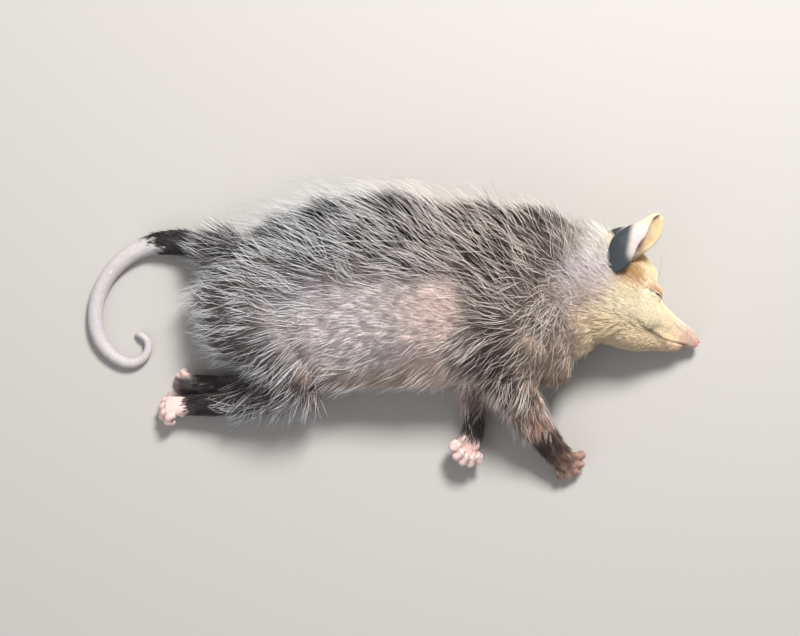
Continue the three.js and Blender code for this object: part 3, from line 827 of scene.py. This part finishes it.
layers = [
    (footMask, "flesh"), (foreRight, "paw"),
    (foreRight * (1 - smoothStep(6, 11, pastWrist)) * (0.3 + 0.6 * patchy(spots, 1.8)), "umber"),
    (hindLeft * smoothStep(-124, -113, spots[:, 0]) * (1 - paleRim), "slate"),
    (tailMask * smoothStep(8, 24, alongTail), "slate"),
    (tailMask * smoothStep(-2, 3, alongTail - furEnd), "pinkTail"), (noseMask, "nosePink"),
]
for ear in earPlaces.values():
    inEar = (spots - middle - np.array(ear["at"])) @ ear["axes"]
    mine = earMask * (np.linalg.norm(inEar - [14, 0, 0], axis=1) < 24)
    outer = ((normals @ ear["axes"]) * (inEar - [0, -3, 0]) * [0, 1, 1]).sum(1) > 0
    fromDark = smoothStep(1.2, 4.6, 0.51 * inEar[:, 0] - 0.86 * inEar[:, 1]) * smoothStep(3, 9, inEar[:, 0])
    layers += [
        (mine * outer, "earDark"), (mine * outer * fromDark, "earPale"),
        # the outer tip takes the inside's cream: partly its own pale colour, partly painted light shining
        # through the thin tip
        (mine * outer * smoothStep(19, 28, inEar[:, 0]) * 0.7, "earInside"), (mine * ~outer, "earInside"),
        # painted shadow: the inside of the ear's cup darkens towards its base
        (mine * ~outer * (1 - smoothStep(8, 19, inEar[:, 0])) * 0.85, "dusk"),
    ]
for mirror in (1, -1):
    spot, slit, across, outward = eyeAxes(mirror)
    offset = inHead(places) - spot
    rim = bell(offset @ across, 0, 0.65) * smoothStep(6.6, 5.0, np.abs(offset @ slit))
    layers.append((rim * (np.linalg.norm(offset, axis=1) < 7) * 0.95, "dusk"))
# painted shade: bare skin turns a darker red-brown in its hollows and creases
hollow = ((softened(places, edges, 8) - places) * normals).sum(1) / mm
bare = np.clip(footMask + earMask + noseMask + tailMask, 0, 1)
layers.append((bare * np.clip(hollow * 3.2, 0, 0.8), "crease"))
skinPaint = marked(spots, fromGuides(spots)[5]) * 0.92
for share, name in layers:
    skinPaint += np.clip(share, 0, 1)[:, None] * (paint(name) - skinPaint)
print("skin painted")


def addPaint(piece, name, colours):
    layer = piece.data.color_attributes.new(name, "FLOAT_COLOR", "POINT")
    opaque = np.hstack([colours, np.ones((len(colours), 1))])
    layer.data.foreach_set("color", opaque.astype(np.float32).ravel())


def addNumber(piece, name, numbers):
    layer = piece.data.attributes.new(name, "FLOAT", "POINT")
    layer.data.foreach_set("value", numbers.astype(np.float32))


addPaint(skin, "markings", skinPaint)
addNumber(skin, "tail", tailMask * smoothStep(30, 50, alongTail))

# Where each point lies on the tail, along it and around it in mm, for its rings of scales
tangents = unit(np.gradient(tailPlaces, axis=0))
lefts = unit(np.cross(up, tangents))
fromTail = places - tailPlaces[tailNearest]
tailTangent, tailLeft = tangents[tailNearest], lefts[tailNearest]
tailTop = np.cross(tailTangent, tailLeft)
alongExact = tailPath[tailNearest, 0] + (fromTail * tailTangent).sum(1) / mm
around = np.arctan2((fromTail * tailLeft).sum(1), (fromTail * tailTop).sum(1)) * tailReach[tailNearest]
scaleSpots = np.column_stack([alongExact, around, np.zeros(len(places))]).astype(np.float32)
layer = skin.data.attributes.new("scaleSpot", "FLOAT_VECTOR", "POINT")
layer.data.foreach_set("vector", scaleSpots.ravel())


# Finishes
def newFinish(name, roughness, specular):
    material = bpy.data.materials.new(name)
    material.use_nodes = True
    shader = material.node_tree.nodes["Principled BSDF"]
    shader.inputs["Roughness"].default_value = roughness
    shader.inputs["Specular IOR Level"].default_value = specular
    return material, material.node_tree.nodes, material.node_tree.links, shader


def colourRamp(nodes, links, factor, first, last, ends=(0.0, 1.0)):
    ramp = nodes.new("ShaderNodeValToRGB")
    for stop, place, colour in zip(ramp.color_ramp.elements, ends, (first, last)):
        stop.position = place
        stop.color = colour
    links.new(factor, ramp.inputs["Fac"])
    return ramp.outputs["Color"]


def attributeNode(nodes, name):
    node = nodes.new("ShaderNodeAttribute")
    node.attribute_name = name
    return node


def noise(nodes, links, scale, detail):
    node = nodes.new("ShaderNodeTexNoise")
    node.inputs["Scale"].default_value = scale
    node.inputs["Detail"].default_value = detail
    links.new(nodes.new("ShaderNodeTexCoord").outputs["Object"], node.inputs["Vector"])
    return node.outputs[0]


def mathNode(nodes, links, operation, first, second):
    node = nodes.new("ShaderNodeMath")
    node.operation = operation
    links.new(first, node.inputs[0])
    links.new(second, node.inputs[1])
    return node.outputs[0]


def shaded(nodes, links, colour, factor, low, high):
    # the colour made darker or lighter by a pattern
    spread = nodes.new("ShaderNodeMapRange")
    spread.inputs["To Min"].default_value = low
    spread.inputs["To Max"].default_value = high
    links.new(factor, spread.inputs["Value"])
    scaled = nodes.new("ShaderNodeVectorMath")
    scaled.operation = "SCALE"
    links.new(colour, scaled.inputs[0])
    links.new(spread.outputs[0], scaled.inputs["Scale"])
    return scaled.outputs[0]


def bumpNode(nodes, links, height, distance, strength, before=None):
    node = nodes.new("ShaderNodeBump")
    node.inputs["Distance"].default_value = distance
    node.inputs["Strength"].default_value = strength
    links.new(height, node.inputs["Height"])
    if before:
        links.new(before, node.inputs["Normal"])
    return node.outputs[0]


skinLook = {
    "roughness": 0.52, "specular": 0.4, "scatter": 0.08, "scatterReach": 0.0015, "mottleScale": 420,
    "mottles": (0.86, 1.12), "mottleDeep": 0.0004, "grainScale": 2600, "grainDeep": 0.00012,
    "scaleSize": 1.05, "scaleUneven": 0.55, "scaleEdge": 0.22, "scaleLine": 0.84, "scaleDeep": 0.00018,
}
hairLook = {"streakScale": 900, "streaks": (0.85, 1.14)}


def skinFinish():
    material, nodes, links, shader = newFinish("skin", skinLook["roughness"], skinLook["specular"])
    shader.inputs["Subsurface Weight"].default_value = skinLook["scatter"]
    shader.inputs["Subsurface Scale"].default_value = skinLook["scatterReach"]
    shader.inputs["Subsurface Radius"].default_value = (1.0, 0.4, 0.25)
    colour = attributeNode(nodes, "markings").outputs["Color"]
    mottle = noise(nodes, links, skinLook["mottleScale"], 4)
    grain = noise(nodes, links, skinLook["grainScale"], 2)
    scales = nodes.new("ShaderNodeTexVoronoi")
    scales.feature = "DISTANCE_TO_EDGE"
    scales.inputs["Scale"].default_value = skinLook["scaleSize"]
    scales.inputs["Randomness"].default_value = skinLook["scaleUneven"]
    links.new(attributeNode(nodes, "scaleSpot").outputs["Vector"], scales.inputs["Vector"])
    edge = nodes.new("ShaderNodeMapRange")
    edge.inputs["From Max"].default_value = skinLook["scaleEdge"]
    links.new(scales.outputs["Distance"], edge.inputs["Value"])
    scaled = attributeNode(nodes, "tail").outputs["Fac"]
    raised = mathNode(nodes, links, "MULTIPLY", edge.outputs[0], scaled)
    gap = mathNode(nodes, links, "SUBTRACT", scaled, raised)
    mottled = shaded(nodes, links, colour, mottle, *skinLook["mottles"])
    lined = shaded(nodes, links, mottled, gap, 1.0, skinLook["scaleLine"])
    links.new(lined, shader.inputs["Base Color"])
    bump = bumpNode(nodes, links, grain, skinLook["grainDeep"], 0.5)
    bump = bumpNode(nodes, links, mottle, skinLook["mottleDeep"], 0.35, bump)
    bump = bumpNode(nodes, links, raised, skinLook["scaleDeep"], 0.5, bump)
    links.new(bump, shader.inputs["Normal"])
    return material


def hairFinish(name, roughness, specular, sheen):
    material, nodes, links, shader = newFinish(name, roughness, specular)
    shader.inputs["Sheen Weight"].default_value = sheen
    colour = attributeNode(nodes, "coatPaint").outputs["Color"]
    streaks = noise(nodes, links, hairLook["streakScale"], 2)
    links.new(shaded(nodes, links, colour, streaks, *hairLook["streaks"]), shader.inputs["Base Color"])
    return material


skin.data.materials.clear()
skin.data.materials.append(skinFinish())
underFinish = hairFinish("underfur", 0.7, 0.18, 0.03)
guardFinish = hairFinish("guardHair", 0.42, 0.4, 0.12)
print("finishes made")

# Eyes: dark balls behind nearly closed lids
eyeLook = {
    "pupil": (0.003, 0.002, 0.002, 1), "iris": (0.035, 0.017, 0.009, 1), "pupilEdge": (0.27, 0.33),
    "streakScale": 1500, "streaks": (0.7, 1.3), "roughness": 0.06, "specular": 0.6, "wet": 0.8,
    "wetRoughness": 0.03, "bulge": 0.05, "bulgeWide": 30,
}


def eyeFinish():
    material, nodes, links, shader = newFinish("wetEye", eyeLook["roughness"], eyeLook["specular"])
    shader.inputs["Coat Weight"].default_value = eyeLook["wet"]
    shader.inputs["Coat Roughness"].default_value = eyeLook["wetRoughness"]
    turn = attributeNode(nodes, "fromPupil").outputs["Fac"]
    colour = colourRamp(nodes, links, turn, eyeLook["pupil"], eyeLook["iris"], eyeLook["pupilEdge"])
    streaks = noise(nodes, links, eyeLook["streakScale"], 3)
    links.new(shaded(nodes, links, colour, streaks, *eyeLook["streaks"]), shader.inputs["Base Color"])
    return material


wetEye = eyeFinish()
eyes = []
for side, mirror in (("right", 1), ("left", -1)):
    spot, slit, across, outward = eyeAxes(mirror)
    centre = fromHead(spot)
    radius = eyePlace["radius"] * mm
    deselectAll()
    bpy.ops.mesh.primitive_uv_sphere_add(segments=48, ring_count=32, radius=radius, location=centre)
    eye = bpy.context.object
    eye.name = "eyeball_" + side
    bpy.ops.object.transform_apply(location=True, rotation=True, scale=True)
    bpy.ops.object.shade_smooth()
    lookWay = headAxes @ outward
    turns = np.degrees(np.arccos(np.clip(unit(placesOf(eye) - centre) @ lookWay, -1, 1)))
    # the cornea stands a little proud
    bulge = eyeLook["bulge"] * bell(turns, 0, eyeLook["bulgeWide"])
    moveTo(eye, centre + (placesOf(eye) - centre) * (1 + bulge)[:, None])
    addNumber(eye, "fromPupil", turns / 90)
    eye.data.materials.append(wetEye)
    eyes.append(eye)
print("eyes made")

# Claws: one curved horn cone, copied to each toe but the hind thumbs, which have none
clawLook = {
    "base": 0.4, "length": 1.75, "bend": 0.42, "sides": 12, "full": 0.35, "flat": 0.8, "restGap": 0.12,
    "dark": (0.42, 0.31, 0.24, 1), "pale": (0.80, 0.72, 0.62, 1), "streakScale": 500,
}
deselectAll()
bpy.ops.mesh.primitive_cone_add(vertices=clawLook["sides"], radius1=clawLook["base"], radius2=0.0,
                                depth=clawLook["length"], location=(0, 0, clawLook["length"] / 2))
oneClaw = bpy.context.object
bpy.ops.object.transform_apply(location=True, rotation=True, scale=True)
editAll(oneClaw)
bpy.ops.mesh.subdivide(number_cuts=5)
leaveEdit()
clawShape = placesOf(oneClaw)
share = clawShape[:, 2] / clawLook["length"]
# the cone stays full up to a blunt point
fuller = np.where(share < 0.999, (1 - share * 0.999) ** -clawLook["full"], 1)
clawShape[:, :2] *= fuller[:, None] * [1.0, clawLook["flat"]]
clawShape[:, 0] -= clawLook["bend"] * share**2 * clawLook["length"]
claws = []
bareThumbs = (10, 15)  # the first toes of the hind feet
for number, spot in enumerate(clawSpots):
    if number in bareThumbs:
        continue
    side = unit(np.cross(spot["way"], spot["back"]))
    back = np.cross(side, spot["way"])
    thick = spot["thick"]
    base = spot["tip"] + (back * 0.35 - spot["way"] * 0.1) * thick
    claw = oneClaw.copy()
    claw.data = oneClaw.data.copy()
    bpy.context.scene.collection.objects.link(claw)
    shaped = base + clawShape @ np.array([back, side, spot["way"]]) * thick
    shaped[:, 2] = np.maximum(shaped[:, 2], clawLook["restGap"])
    moveTo(claw, shaped * mm)
    claws.append(claw)
bpy.data.objects.remove(oneClaw)
clawPiece = joined(claws, "claws")
editAll(clawPiece)
bpy.ops.mesh.normals_make_consistent(inside=False)
leaveEdit()
bpy.ops.object.shade_smooth_by_angle(angle=math.radians(50))
horn, nodes, links, shader = newFinish("clawHorn", 0.28, 0.5)
streaks = noise(nodes, links, clawLook["streakScale"], 3)
colour = colourRamp(nodes, links, streaks, clawLook["dark"], clawLook["pale"])
links.new(colour, shader.inputs["Base Color"])
clawPiece.data.materials.append(horn)
print("claws made:", len(claws))

# Coat of tufts: each is a thin closed spike along a bent line, with its own spot on the skin's unwrap
draw = np.random.default_rng(41)
bakeCell = 0.003
coat = {
    "amount": 1.0, "rootDeep": 0.3, "flatten": 0.65, "lieDown": 0.3, "floorGap": 0.22,
    "backLimit": 82, "overLimit": 0.6, "leastLift": 9, "pressFlat": 0.85, "rises": (0.6, 1.4),
    "reaches": (0.7, 1.2), "widths": (0.75, 1.25), "tangleTurn": 55, "tangleBend": 0.35, "whiteShare": 0.75,
    "lessWhite": 0.7, "patch": 3.2, "shades": (0.9, 1.1), "palest": 0.95,
}
triangleSpots = places[triangles]
triangleArea = np.linalg.norm(np.cross(triangleSpots[:, 1] - triangleSpots[:, 0],
                                       triangleSpots[:, 2] - triangleSpots[:, 0]), axis=1) / 2
triangleMiddle = triangleSpots.mean(1) / mm


def labelShare(*names):
    return among(*names)[triangles].mean(1)


def takeRoots(count, weight):
    # places on the skin, more where the weight is high
    chance = triangleArea * np.maximum(weight, 0)
    picked = draw.choice(len(triangles), int(count * coat["amount"]), p=chance / chance.sum())
    a, b = draw.random((2, len(picked)))
    flip = a + b > 1
    a[flip], b[flip] = 1 - a[flip], 1 - b[flip]
    shares = np.column_stack([1 - a - b, a, b])[:, :, None]
    spots = (triangleSpots[picked] * shares).sum(1)
    facing = unit((normals[triangles[picked]] * shares).sum(1))
    unwrapSpots = (cornerSpots[picked] * shares).sum(1)
    return spots, facing, unwrapSpots


def spikeFaces(rings):
    # corners, map places and face starts of one spike: a root face, its sides and its point
    loops, spread, starts = [2, 1, 0], [(1, 0), (0.5, 0.15), (0, 0)], [0]
    for ring in range(rings - 1):
        for corner in range(3):
            nextOne = (corner + 1) % 3
            starts.append(len(loops))
            loops += [ring * 3 + corner, ring * 3 + nextOne, ring * 3 + 3 + nextOne, ring * 3 + 3 + corner]
            low, high, left, right = ring / rings, (ring + 1) / rings, corner / 3, (corner + 1) / 3
            spread += [(left, low), (right, low), (right, high), (left, high)]
    for corner in range(3):
        starts.append(len(loops))
        loops += [(rings - 1) * 3 + corner, (rings - 1) * 3 + (corner + 1) % 3, rings * 3]
        spread += [(corner / 3, 1 - 1 / rings), ((corner + 1) / 3, 1 - 1 / rings), ((corner + 0.5) / 3, 1)]
    return np.array(loops), np.array(spread), np.array(starts)


def clumpLines(lines, spacing, share):
    # hairs near each other lean together, so that their tips meet in locks
    roots = lines[:, 0]
    count = max(8, int(len(roots) / spacing))
    heads = draw.choice(len(roots), count, replace=False)
    mine = heads[nearest(roots[heads], roots)]
    steps = np.linspace(0, 1, lines.shape[1])[None, :, None] ** 1.4
    return lines + share * steps * (lines[mine] - lines), mine


def spikePiece(name, lines, facing, unwrapSpots, paints, width, shade, finish, rootShadeTint=(1, 1, 1)):
    # one closed mesh of spikes along the lines, darker towards each root as painted shade and lighter towards
    # each tip, where light falls
    count, rings = len(lines), lines.shape[1] - 1
    forward = unit(np.gradient(lines, axis=1))
    side = unit(np.cross(facing[:, None], forward))
    top = np.cross(forward, side)
    shares = np.arange(rings) / rings
    profile = (0.75 + 0.9 * shares) * (1 - shares**1.5) * width * mm / 2
    thick = (profile[None] * draw.uniform(*coat["widths"], (count, 1)))[:, :, None, None]
    angles = np.radians([210, 330, 90])[:, None]
    ringPoints = lines[:, :rings, None] + thick * (
        side[:, :rings, None] * np.cos(angles) + top[:, :rings, None] * np.sin(angles) * coat["flatten"])
    points = np.concatenate([ringPoints.reshape(count, -1, 3), lines[:, rings:]], axis=1)
    each = rings * 3 + 1
    loops, spread, starts = spikeFaces(rings)
    number = np.arange(count)[:, None]
    mesh = bpy.data.meshes.new(name)
    mesh.vertices.add(count * each)
    mesh.vertices.foreach_set("co", points.astype(np.float32).ravel())
    mesh.loops.add(count * len(loops))
    mesh.loops.foreach_set("vertex_index", (number * each + loops).astype(np.int32).ravel())
    mesh.polygons.add(count * len(starts))
    mesh.polygons.foreach_set("loop_start", (number * len(loops) + starts).astype(np.int32).ravel())
    mesh.update(calc_edges=True)
    mesh.shade_smooth()
    cell = np.clip(np.floor(unwrapSpots / bakeCell), 0, int(1 / bakeCell) - 1) * bakeCell
    bake = mesh.uv_layers.new(name="OFBake")
    bake.data.foreach_set("uv", (cell[:, None] + spread[None] * bakeCell).astype(np.float32).ravel())
    # painted shade deep in the coat at the root, painted light at the tip; rootShadeTint warms the dark roots
    alongSpike = np.concatenate([np.repeat(shares, 3), [1.0]])
    rise = smoothStep(0, 0.7, alongSpike)[:, None]
    shading = shade[0] * np.array(rootShadeTint) * (1 - rise) + shade[1] * rise
    piece = bpy.data.objects.new(name, mesh)
    bpy.context.scene.collection.objects.link(piece)
    colours = (paints[:, None] * shading[None]).reshape(-1, 3)
    tooPale = np.maximum(colours.max(1, keepdims=True) / coat["palest"], 1)
    addPaint(piece, "coatPaint", colours / tooPale)
    piece.data.materials.append(finish)
    print(name + ":", count, "tufts,", count * (rings * 6 - 2), "triangles")
    return piece


skinTree = treeOf(places)


def clearOfSkin(lines, clearance):
    # the points of each line but its root are kept outside the skin
    for step in range(1, lines.shape[1]):
        spots = lines[:, step]
        near = np.array([skinTree.find(spot)[1] for spot in spots])
        height = ((spots - places[near]) * normals[near]).sum(1)
        short = np.clip(clearance * mm - height, 0, 6 * mm)
        lines[:, step] = spots + normals[near] * short[:, None]
    return lines


def makeTufts(name, weight, count, width, longer, shade, rings=2, lift=1.0, jitter=8, clump=(9, 0.5),
              wave=0.05, white=0.0, finish=underFinish, keep=None, rootShadeTint=(1, 0.985, 0.965), vary=0.14,
              mottle=0.1, clearance=0.35):
    spots, facing, unwrapSpots = takeRoots(count, weight)
    if keep is not None:
        good = keep(spots)
        spots, facing, unwrapSpots = spots[good], facing[good], unwrapSpots[good]
    ways, lifts, lengths, shares, tangle, paints = fromGuides(spots / mm)
    paints = marked(spots / mm, paints)
    ways = unit(ways - facing * (ways * facing).sum(1, keepdims=True))
    turn = np.radians(draw.normal(0, 1, len(spots)) * (jitter + coat["tangleTurn"] * tangle))[:, None]
    ways = ways * np.cos(turn) + np.cross(facing, ways) * np.sin(turn)
    across = np.cross(facing, ways)
    pressed = (1 - smoothStep(-0.9, -0.4, facing[:, 2])) * (1 - 0.7 * smoothStep(2, 14, spots[:, 2] / mm))
    lifts = np.maximum(lifts, coat["leastLift"] * smoothStep(20, 6, spots[:, 2] / mm))
    lifts = lifts * lift * (1 - coat["pressFlat"] * pressed)
    rise = np.radians(lifts * draw.uniform(*coat["rises"], len(spots)))
    reach = lengths * longer * draw.uniform(*coat["reaches"], len(spots)) * mm
    bend = draw.normal(0, wave, len(spots)) + draw.normal(0, coat["tangleBend"], len(spots)) * tangle
    lines = np.empty((len(spots), rings + 1, 3))
    lines[:, 0] = spots - facing * coat["rootDeep"] * mm
    for step in range(rings):
        share = (step + 0.5) / rings
        tilt = (rise * (1 - (1 - coat["lieDown"]) * share))[:, None]
        way = ways * np.cos(tilt) + facing * np.sin(tilt) + across * (bend * share * 2)[:, None]
        lines[:, step + 1] = lines[:, step] + way * (reach / rings)[:, None]
    lines, mine = clumpLines(lines, *clump)
    lines = clearOfSkin(lines, clearance)
    lines[:, :, 2] = np.maximum(lines[:, :, 2], (coat["floorGap"] + width / 2) * mm)
    beyond = np.maximum(lines[:, :, 1] - coat["backLimit"] * mm, 0)
    lines[:, :, 1] -= coat["overLimit"] * beyond
    whiter = white * np.where(draw.random(len(spots)) < coat["whiteShare"], 1.0, coat["lessWhite"])[:, None]
    warm = smoothStep(-30, 60, spots[:, 0] / mm)[:, None]
    pale = paint("hair") + warm * (paint("warmHair") - paint("hair"))
    paints = paints + whiter * (pale - paints)
    paints = paints * draw.uniform(1 - vary, 1 + vary, len(spots))[mine][:, None]
    paints = paints * (1 - mottle + 2 * mottle * patchy(spots / mm, coat["patch"]))[:, None]
    paints = paints * draw.uniform(*coat["shades"], (len(spots), 1))
    return spikePiece(name, lines, facing, unwrapSpots, paints, width, shade, finish, rootShadeTint)


bodyShare = labelShare(*bodyParts)
headShare = labelShare(*headParts)
legShare = labelShare("lower", "tail", "foot")
guideAt = fromGuides(triangleMiddle)
hairLength, guardShare = guideAt[2], guideAt[3]
atX, atY, atZ = triangleMiddle.T
underWeight = bodyShare * (12 / hairLength) ** 1.4 * (0.55 + 0.45 * smoothStep(1.0, 8.0, atZ))
shankShare = labelShare("lower") + labelShare("tail") * (alongTail[triangles].mean(1) < 30)
shankShare = shankShare * smoothStep(-100, -90, atX) * smoothStep(-56, -46, atY)
guardWeight = (bodyShare + shankShare) * guardShare**1.6 * smoothStep(3.0, 14.0, atZ)


def clearOfEyes(spots):
    # no hair grows on the lids' rims, and none on the lips
    local = inHead(spots)
    clear = np.ones(len(spots), bool)
    for mirror in (1, -1):
        spot, slit, across, outward = eyeAxes(mirror)
        offset = local - spot
        clear &= (np.abs(offset @ slit) > 5.4) | (np.abs(offset @ across) > 0.95) | (offset @ outward < 0)
    lip = np.interp(local[:, 0], mouthCurve[:, 0], mouthCurve[:, 1])
    clear &= (np.abs(local[:, 1] - lip) > 0.5) | (local[:, 0] < -42) | (local[:, 0] > 5)
    return clear & (local[:, 0] < -3.5)


def bands(weight, count):
    # the weight cut across the body into parts with equally many tufts
    order = np.argsort(atX)
    filled = np.cumsum((triangleArea * weight)[order])
    part = np.empty(len(weight), int)
    part[order] = np.minimum(filled / filled[-1] * count, count - 1).astype(int)
    return [weight * (part == number) for number in range(count)]


# shade: the painted shade at each tuft's root and the painted light at its tip
underLook = {"count": 12800, "width": 0.38, "longer": 1.1, "shade": (0.88, 1.05)}
guardLook = {
    "count": 3000, "width": 0.34, "longer": 1.7, "shade": (0.6, 1.04), "rings": 4, "lift": 1.1, "jitter": 12,
    "clump": (7, 0.55), "wave": 0.12, "white": 0.97, "finish": guardFinish,
}
faceLook = {
    "count": 14500, "width": 0.29, "longer": 1.5, "shade": (0.98, 1.1), "clump": (5, 0.2), "wave": 0.03,
    "keep": clearOfEyes, "rootShadeTint": (1, 0.95, 0.88), "mottle": 0.03, "clearance": 0.1,
}
crownLook = {
    "count": 16000, "width": 0.33, "longer": 1.6, "shade": (0.97, 1.1), "lift": 1.1, "jitter": 9,
    "clump": (6, 0.25), "wave": 0.04, "keep": clearOfEyes, "rootShadeTint": (1, 0.95, 0.88), "mottle": 0.04,
    "clearance": 0.2,
}
legLook = {
    "count": 14000, "width": 0.34, "longer": 1.2, "shade": (0.7, 1.25), "jitter": 10, "clump": (8, 0.4),
    "vary": 0.3, "mottle": 0.25,
}
underNames = ["rump", "haunch", "loin", "ribs", "chest", "shoulders", "neck"]
beforeCrown = inHead(triangleMiddle * mm)[:, 0] > -40
legWeight = legShare * np.clip(1.2 - 1.3 * footMask[triangles].mean(1), 0, 1)
legWeight = np.maximum(legWeight, 0.6 * (foreRight * (1 - smoothStep(0, 5, pastWrist)))[triangles].mean(1))
legWeight = legWeight * ((alongTail - furEnd)[triangles].mean(1) < -3)
coatPieces = []
for name, band in zip(underNames, bands(underWeight, len(underNames))):
    coatPieces.append(makeTufts("coat_" + name, band, **underLook))
for name, band in zip(("rear", "front"), bands(guardWeight, 2)):
    coatPieces.append(makeTufts("guard_hair_" + name, band, **guardLook))
coatPieces.append(makeTufts("coat_face", headShare * beforeCrown, **faceLook))
coatPieces.append(makeTufts("coat_crown", headShare * ~beforeCrown, **crownLook))
coatPieces.append(makeTufts("coat_legs", legWeight, **legLook))

# Whiskers: stiff, tapered, sweeping back from the snout, the brow and the cheek. A row: how far forwards, how
# high in the head, and the length.
whiskerRows = [
    (-8, -2.6, 9), (-10, -4.4, 12), (-12, -2.2, 15), (-13, -5.2, 18), (-15, -3.4, 20), (-17, -6.2, 24),
    (-18, -1.6, 18), (-19, -4.4, 26), (-21, -6.8, 28), (-23, -2.8, 24), (-24, -5.4, 30), (-36, 8.5, 14),
    (-39, 9.2, 17), (-53, -14, 18), (-55, -14.6, 21),
]
whiskerLook = {
    "rings": 9, "width": 0.24, "shade": (0.8, 1.0), "spread": 0.08, "droopSpread": 0.05, "rootDeep": 0.4,
    "floorGap": 0.4,
}


def whiskerLine(local, facing, row, mirror):
    # the skin's point nearest to the row's place, and a drooping line from there
    x, y, reach = row
    gap = (local[:, 0] - x) ** 2 + (local[:, 1] - y) ** 2 + 50 * (local[:, 2] * mirror < 0.5)
    root = np.argmin(gap - 0.02 * local[:, 2] * mirror)
    away = facing[root]
    sweep = np.array([-0.75, 0.04 * (y + 4), 0.0]) + away * 0.75
    way = unit(sweep + draw.normal(0, whiskerLook["spread"], 3))
    droop = np.array([-0.5, -0.12, 0.0]) + draw.normal(0, whiskerLook["droopSpread"], 3)
    steps = np.linspace(0, 1, whiskerLook["rings"] + 1)[:, None]
    line = local[root] - away * whiskerLook["rootDeep"] + reach * (way * steps + droop * steps**2 * 0.5)
    line = fromHead(line)
    line[:, 2] = np.maximum(line[:, 2], whiskerLook["floorGap"] * mm)
    return root, line


local = inHead(places)
facing = normals @ headAxes
found = [whiskerLine(local, facing, row, mirror) for mirror in (1, -1) for row in whiskerRows]
roots = [root for root, line in found]
lines = np.array([line for root, line in found])
whiskerPaints = np.tile(paint("hair"), (len(lines), 1))
whiskerPaints[::4] = paint("umber")
vertexSpots = np.zeros((len(places), 2))
vertexSpots[triangles.ravel()] = cornerSpots.reshape(-1, 2)
whiskers = spikePiece("whiskers", lines, normals[roots], vertexSpots[roots], whiskerPaints,
                      whiskerLook["width"], whiskerLook["shade"], guardFinish)

# What each piece stands for: each hangs from the root body, and the CAD parts it replaces are hidden
fleshNodes = ["trunk", "neck", "head", "nose", "ear_right", "ear_left"]
for leg in ("foreleg_right", "foreleg_left", "hindleg_right", "hindleg_left"):
    fleshNodes += [f"{leg}_{part}" for part in ("upper", "lower", "foot")]
fleshNodes += ["tail_" + part for part in ("root", "upper", "middle", "lower", "hook", "curl", "tip")]
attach(skin, "root")
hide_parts(*fleshNodes)
for eye, node in zip(eyes, ("eye_right", "eye_left")):
    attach(eye, "root")
    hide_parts(node)
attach(clawPiece, "root")
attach(whiskers, "root")
for piece in coatPieces:
    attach(piece, "root")

# Pale floor and soft studio light, warmer from the side of the back
studio = {"floor": (0.50, 0.49, 0.47, 1), "key": 22.5, "fill": 3.0, "around": 0.33}
deselectAll()
bpy.ops.mesh.primitive_plane_add(size=6, location=(0, 0, 0))
floor = bpy.context.object
floor.name = "floor"
ground, nodes, links, shader = newFinish("paleFloor", 0.9, 0.2)
shader.inputs["Base Color"].default_value = studio["floor"]
floor.data.materials.append(ground)


def softLight(name, place, power, size, colour):
    bpy.ops.object.light_add(type="AREA", location=place)
    lamp = bpy.context.object
    lamp.name = name
    lamp.data.energy = power
    lamp.data.size = size
    lamp.data.color = colour
    lamp.rotation_euler = Vector(place).to_track_quat("Z", "Y").to_euler()


softLight("keyLight", (0.3, 0.75, 0.95), studio["key"], 0.32, (1.0, 0.97, 0.93))
softLight("fillLight", (-0.7, -0.7, 0.9), studio["fill"], 0.9, (0.98, 0.98, 1.0))
world = bpy.data.worlds.new("studio")
bpy.context.scene.world = world
world.use_nodes = True
world.node_tree.nodes["Background"].inputs["Color"].default_value = (0.98, 0.98, 1.0, 1)
world.node_tree.nodes["Background"].inputs["Strength"].default_value = studio["around"]
bpy.context.scene.view_settings.view_transform = "Standard"
print("stage lit")
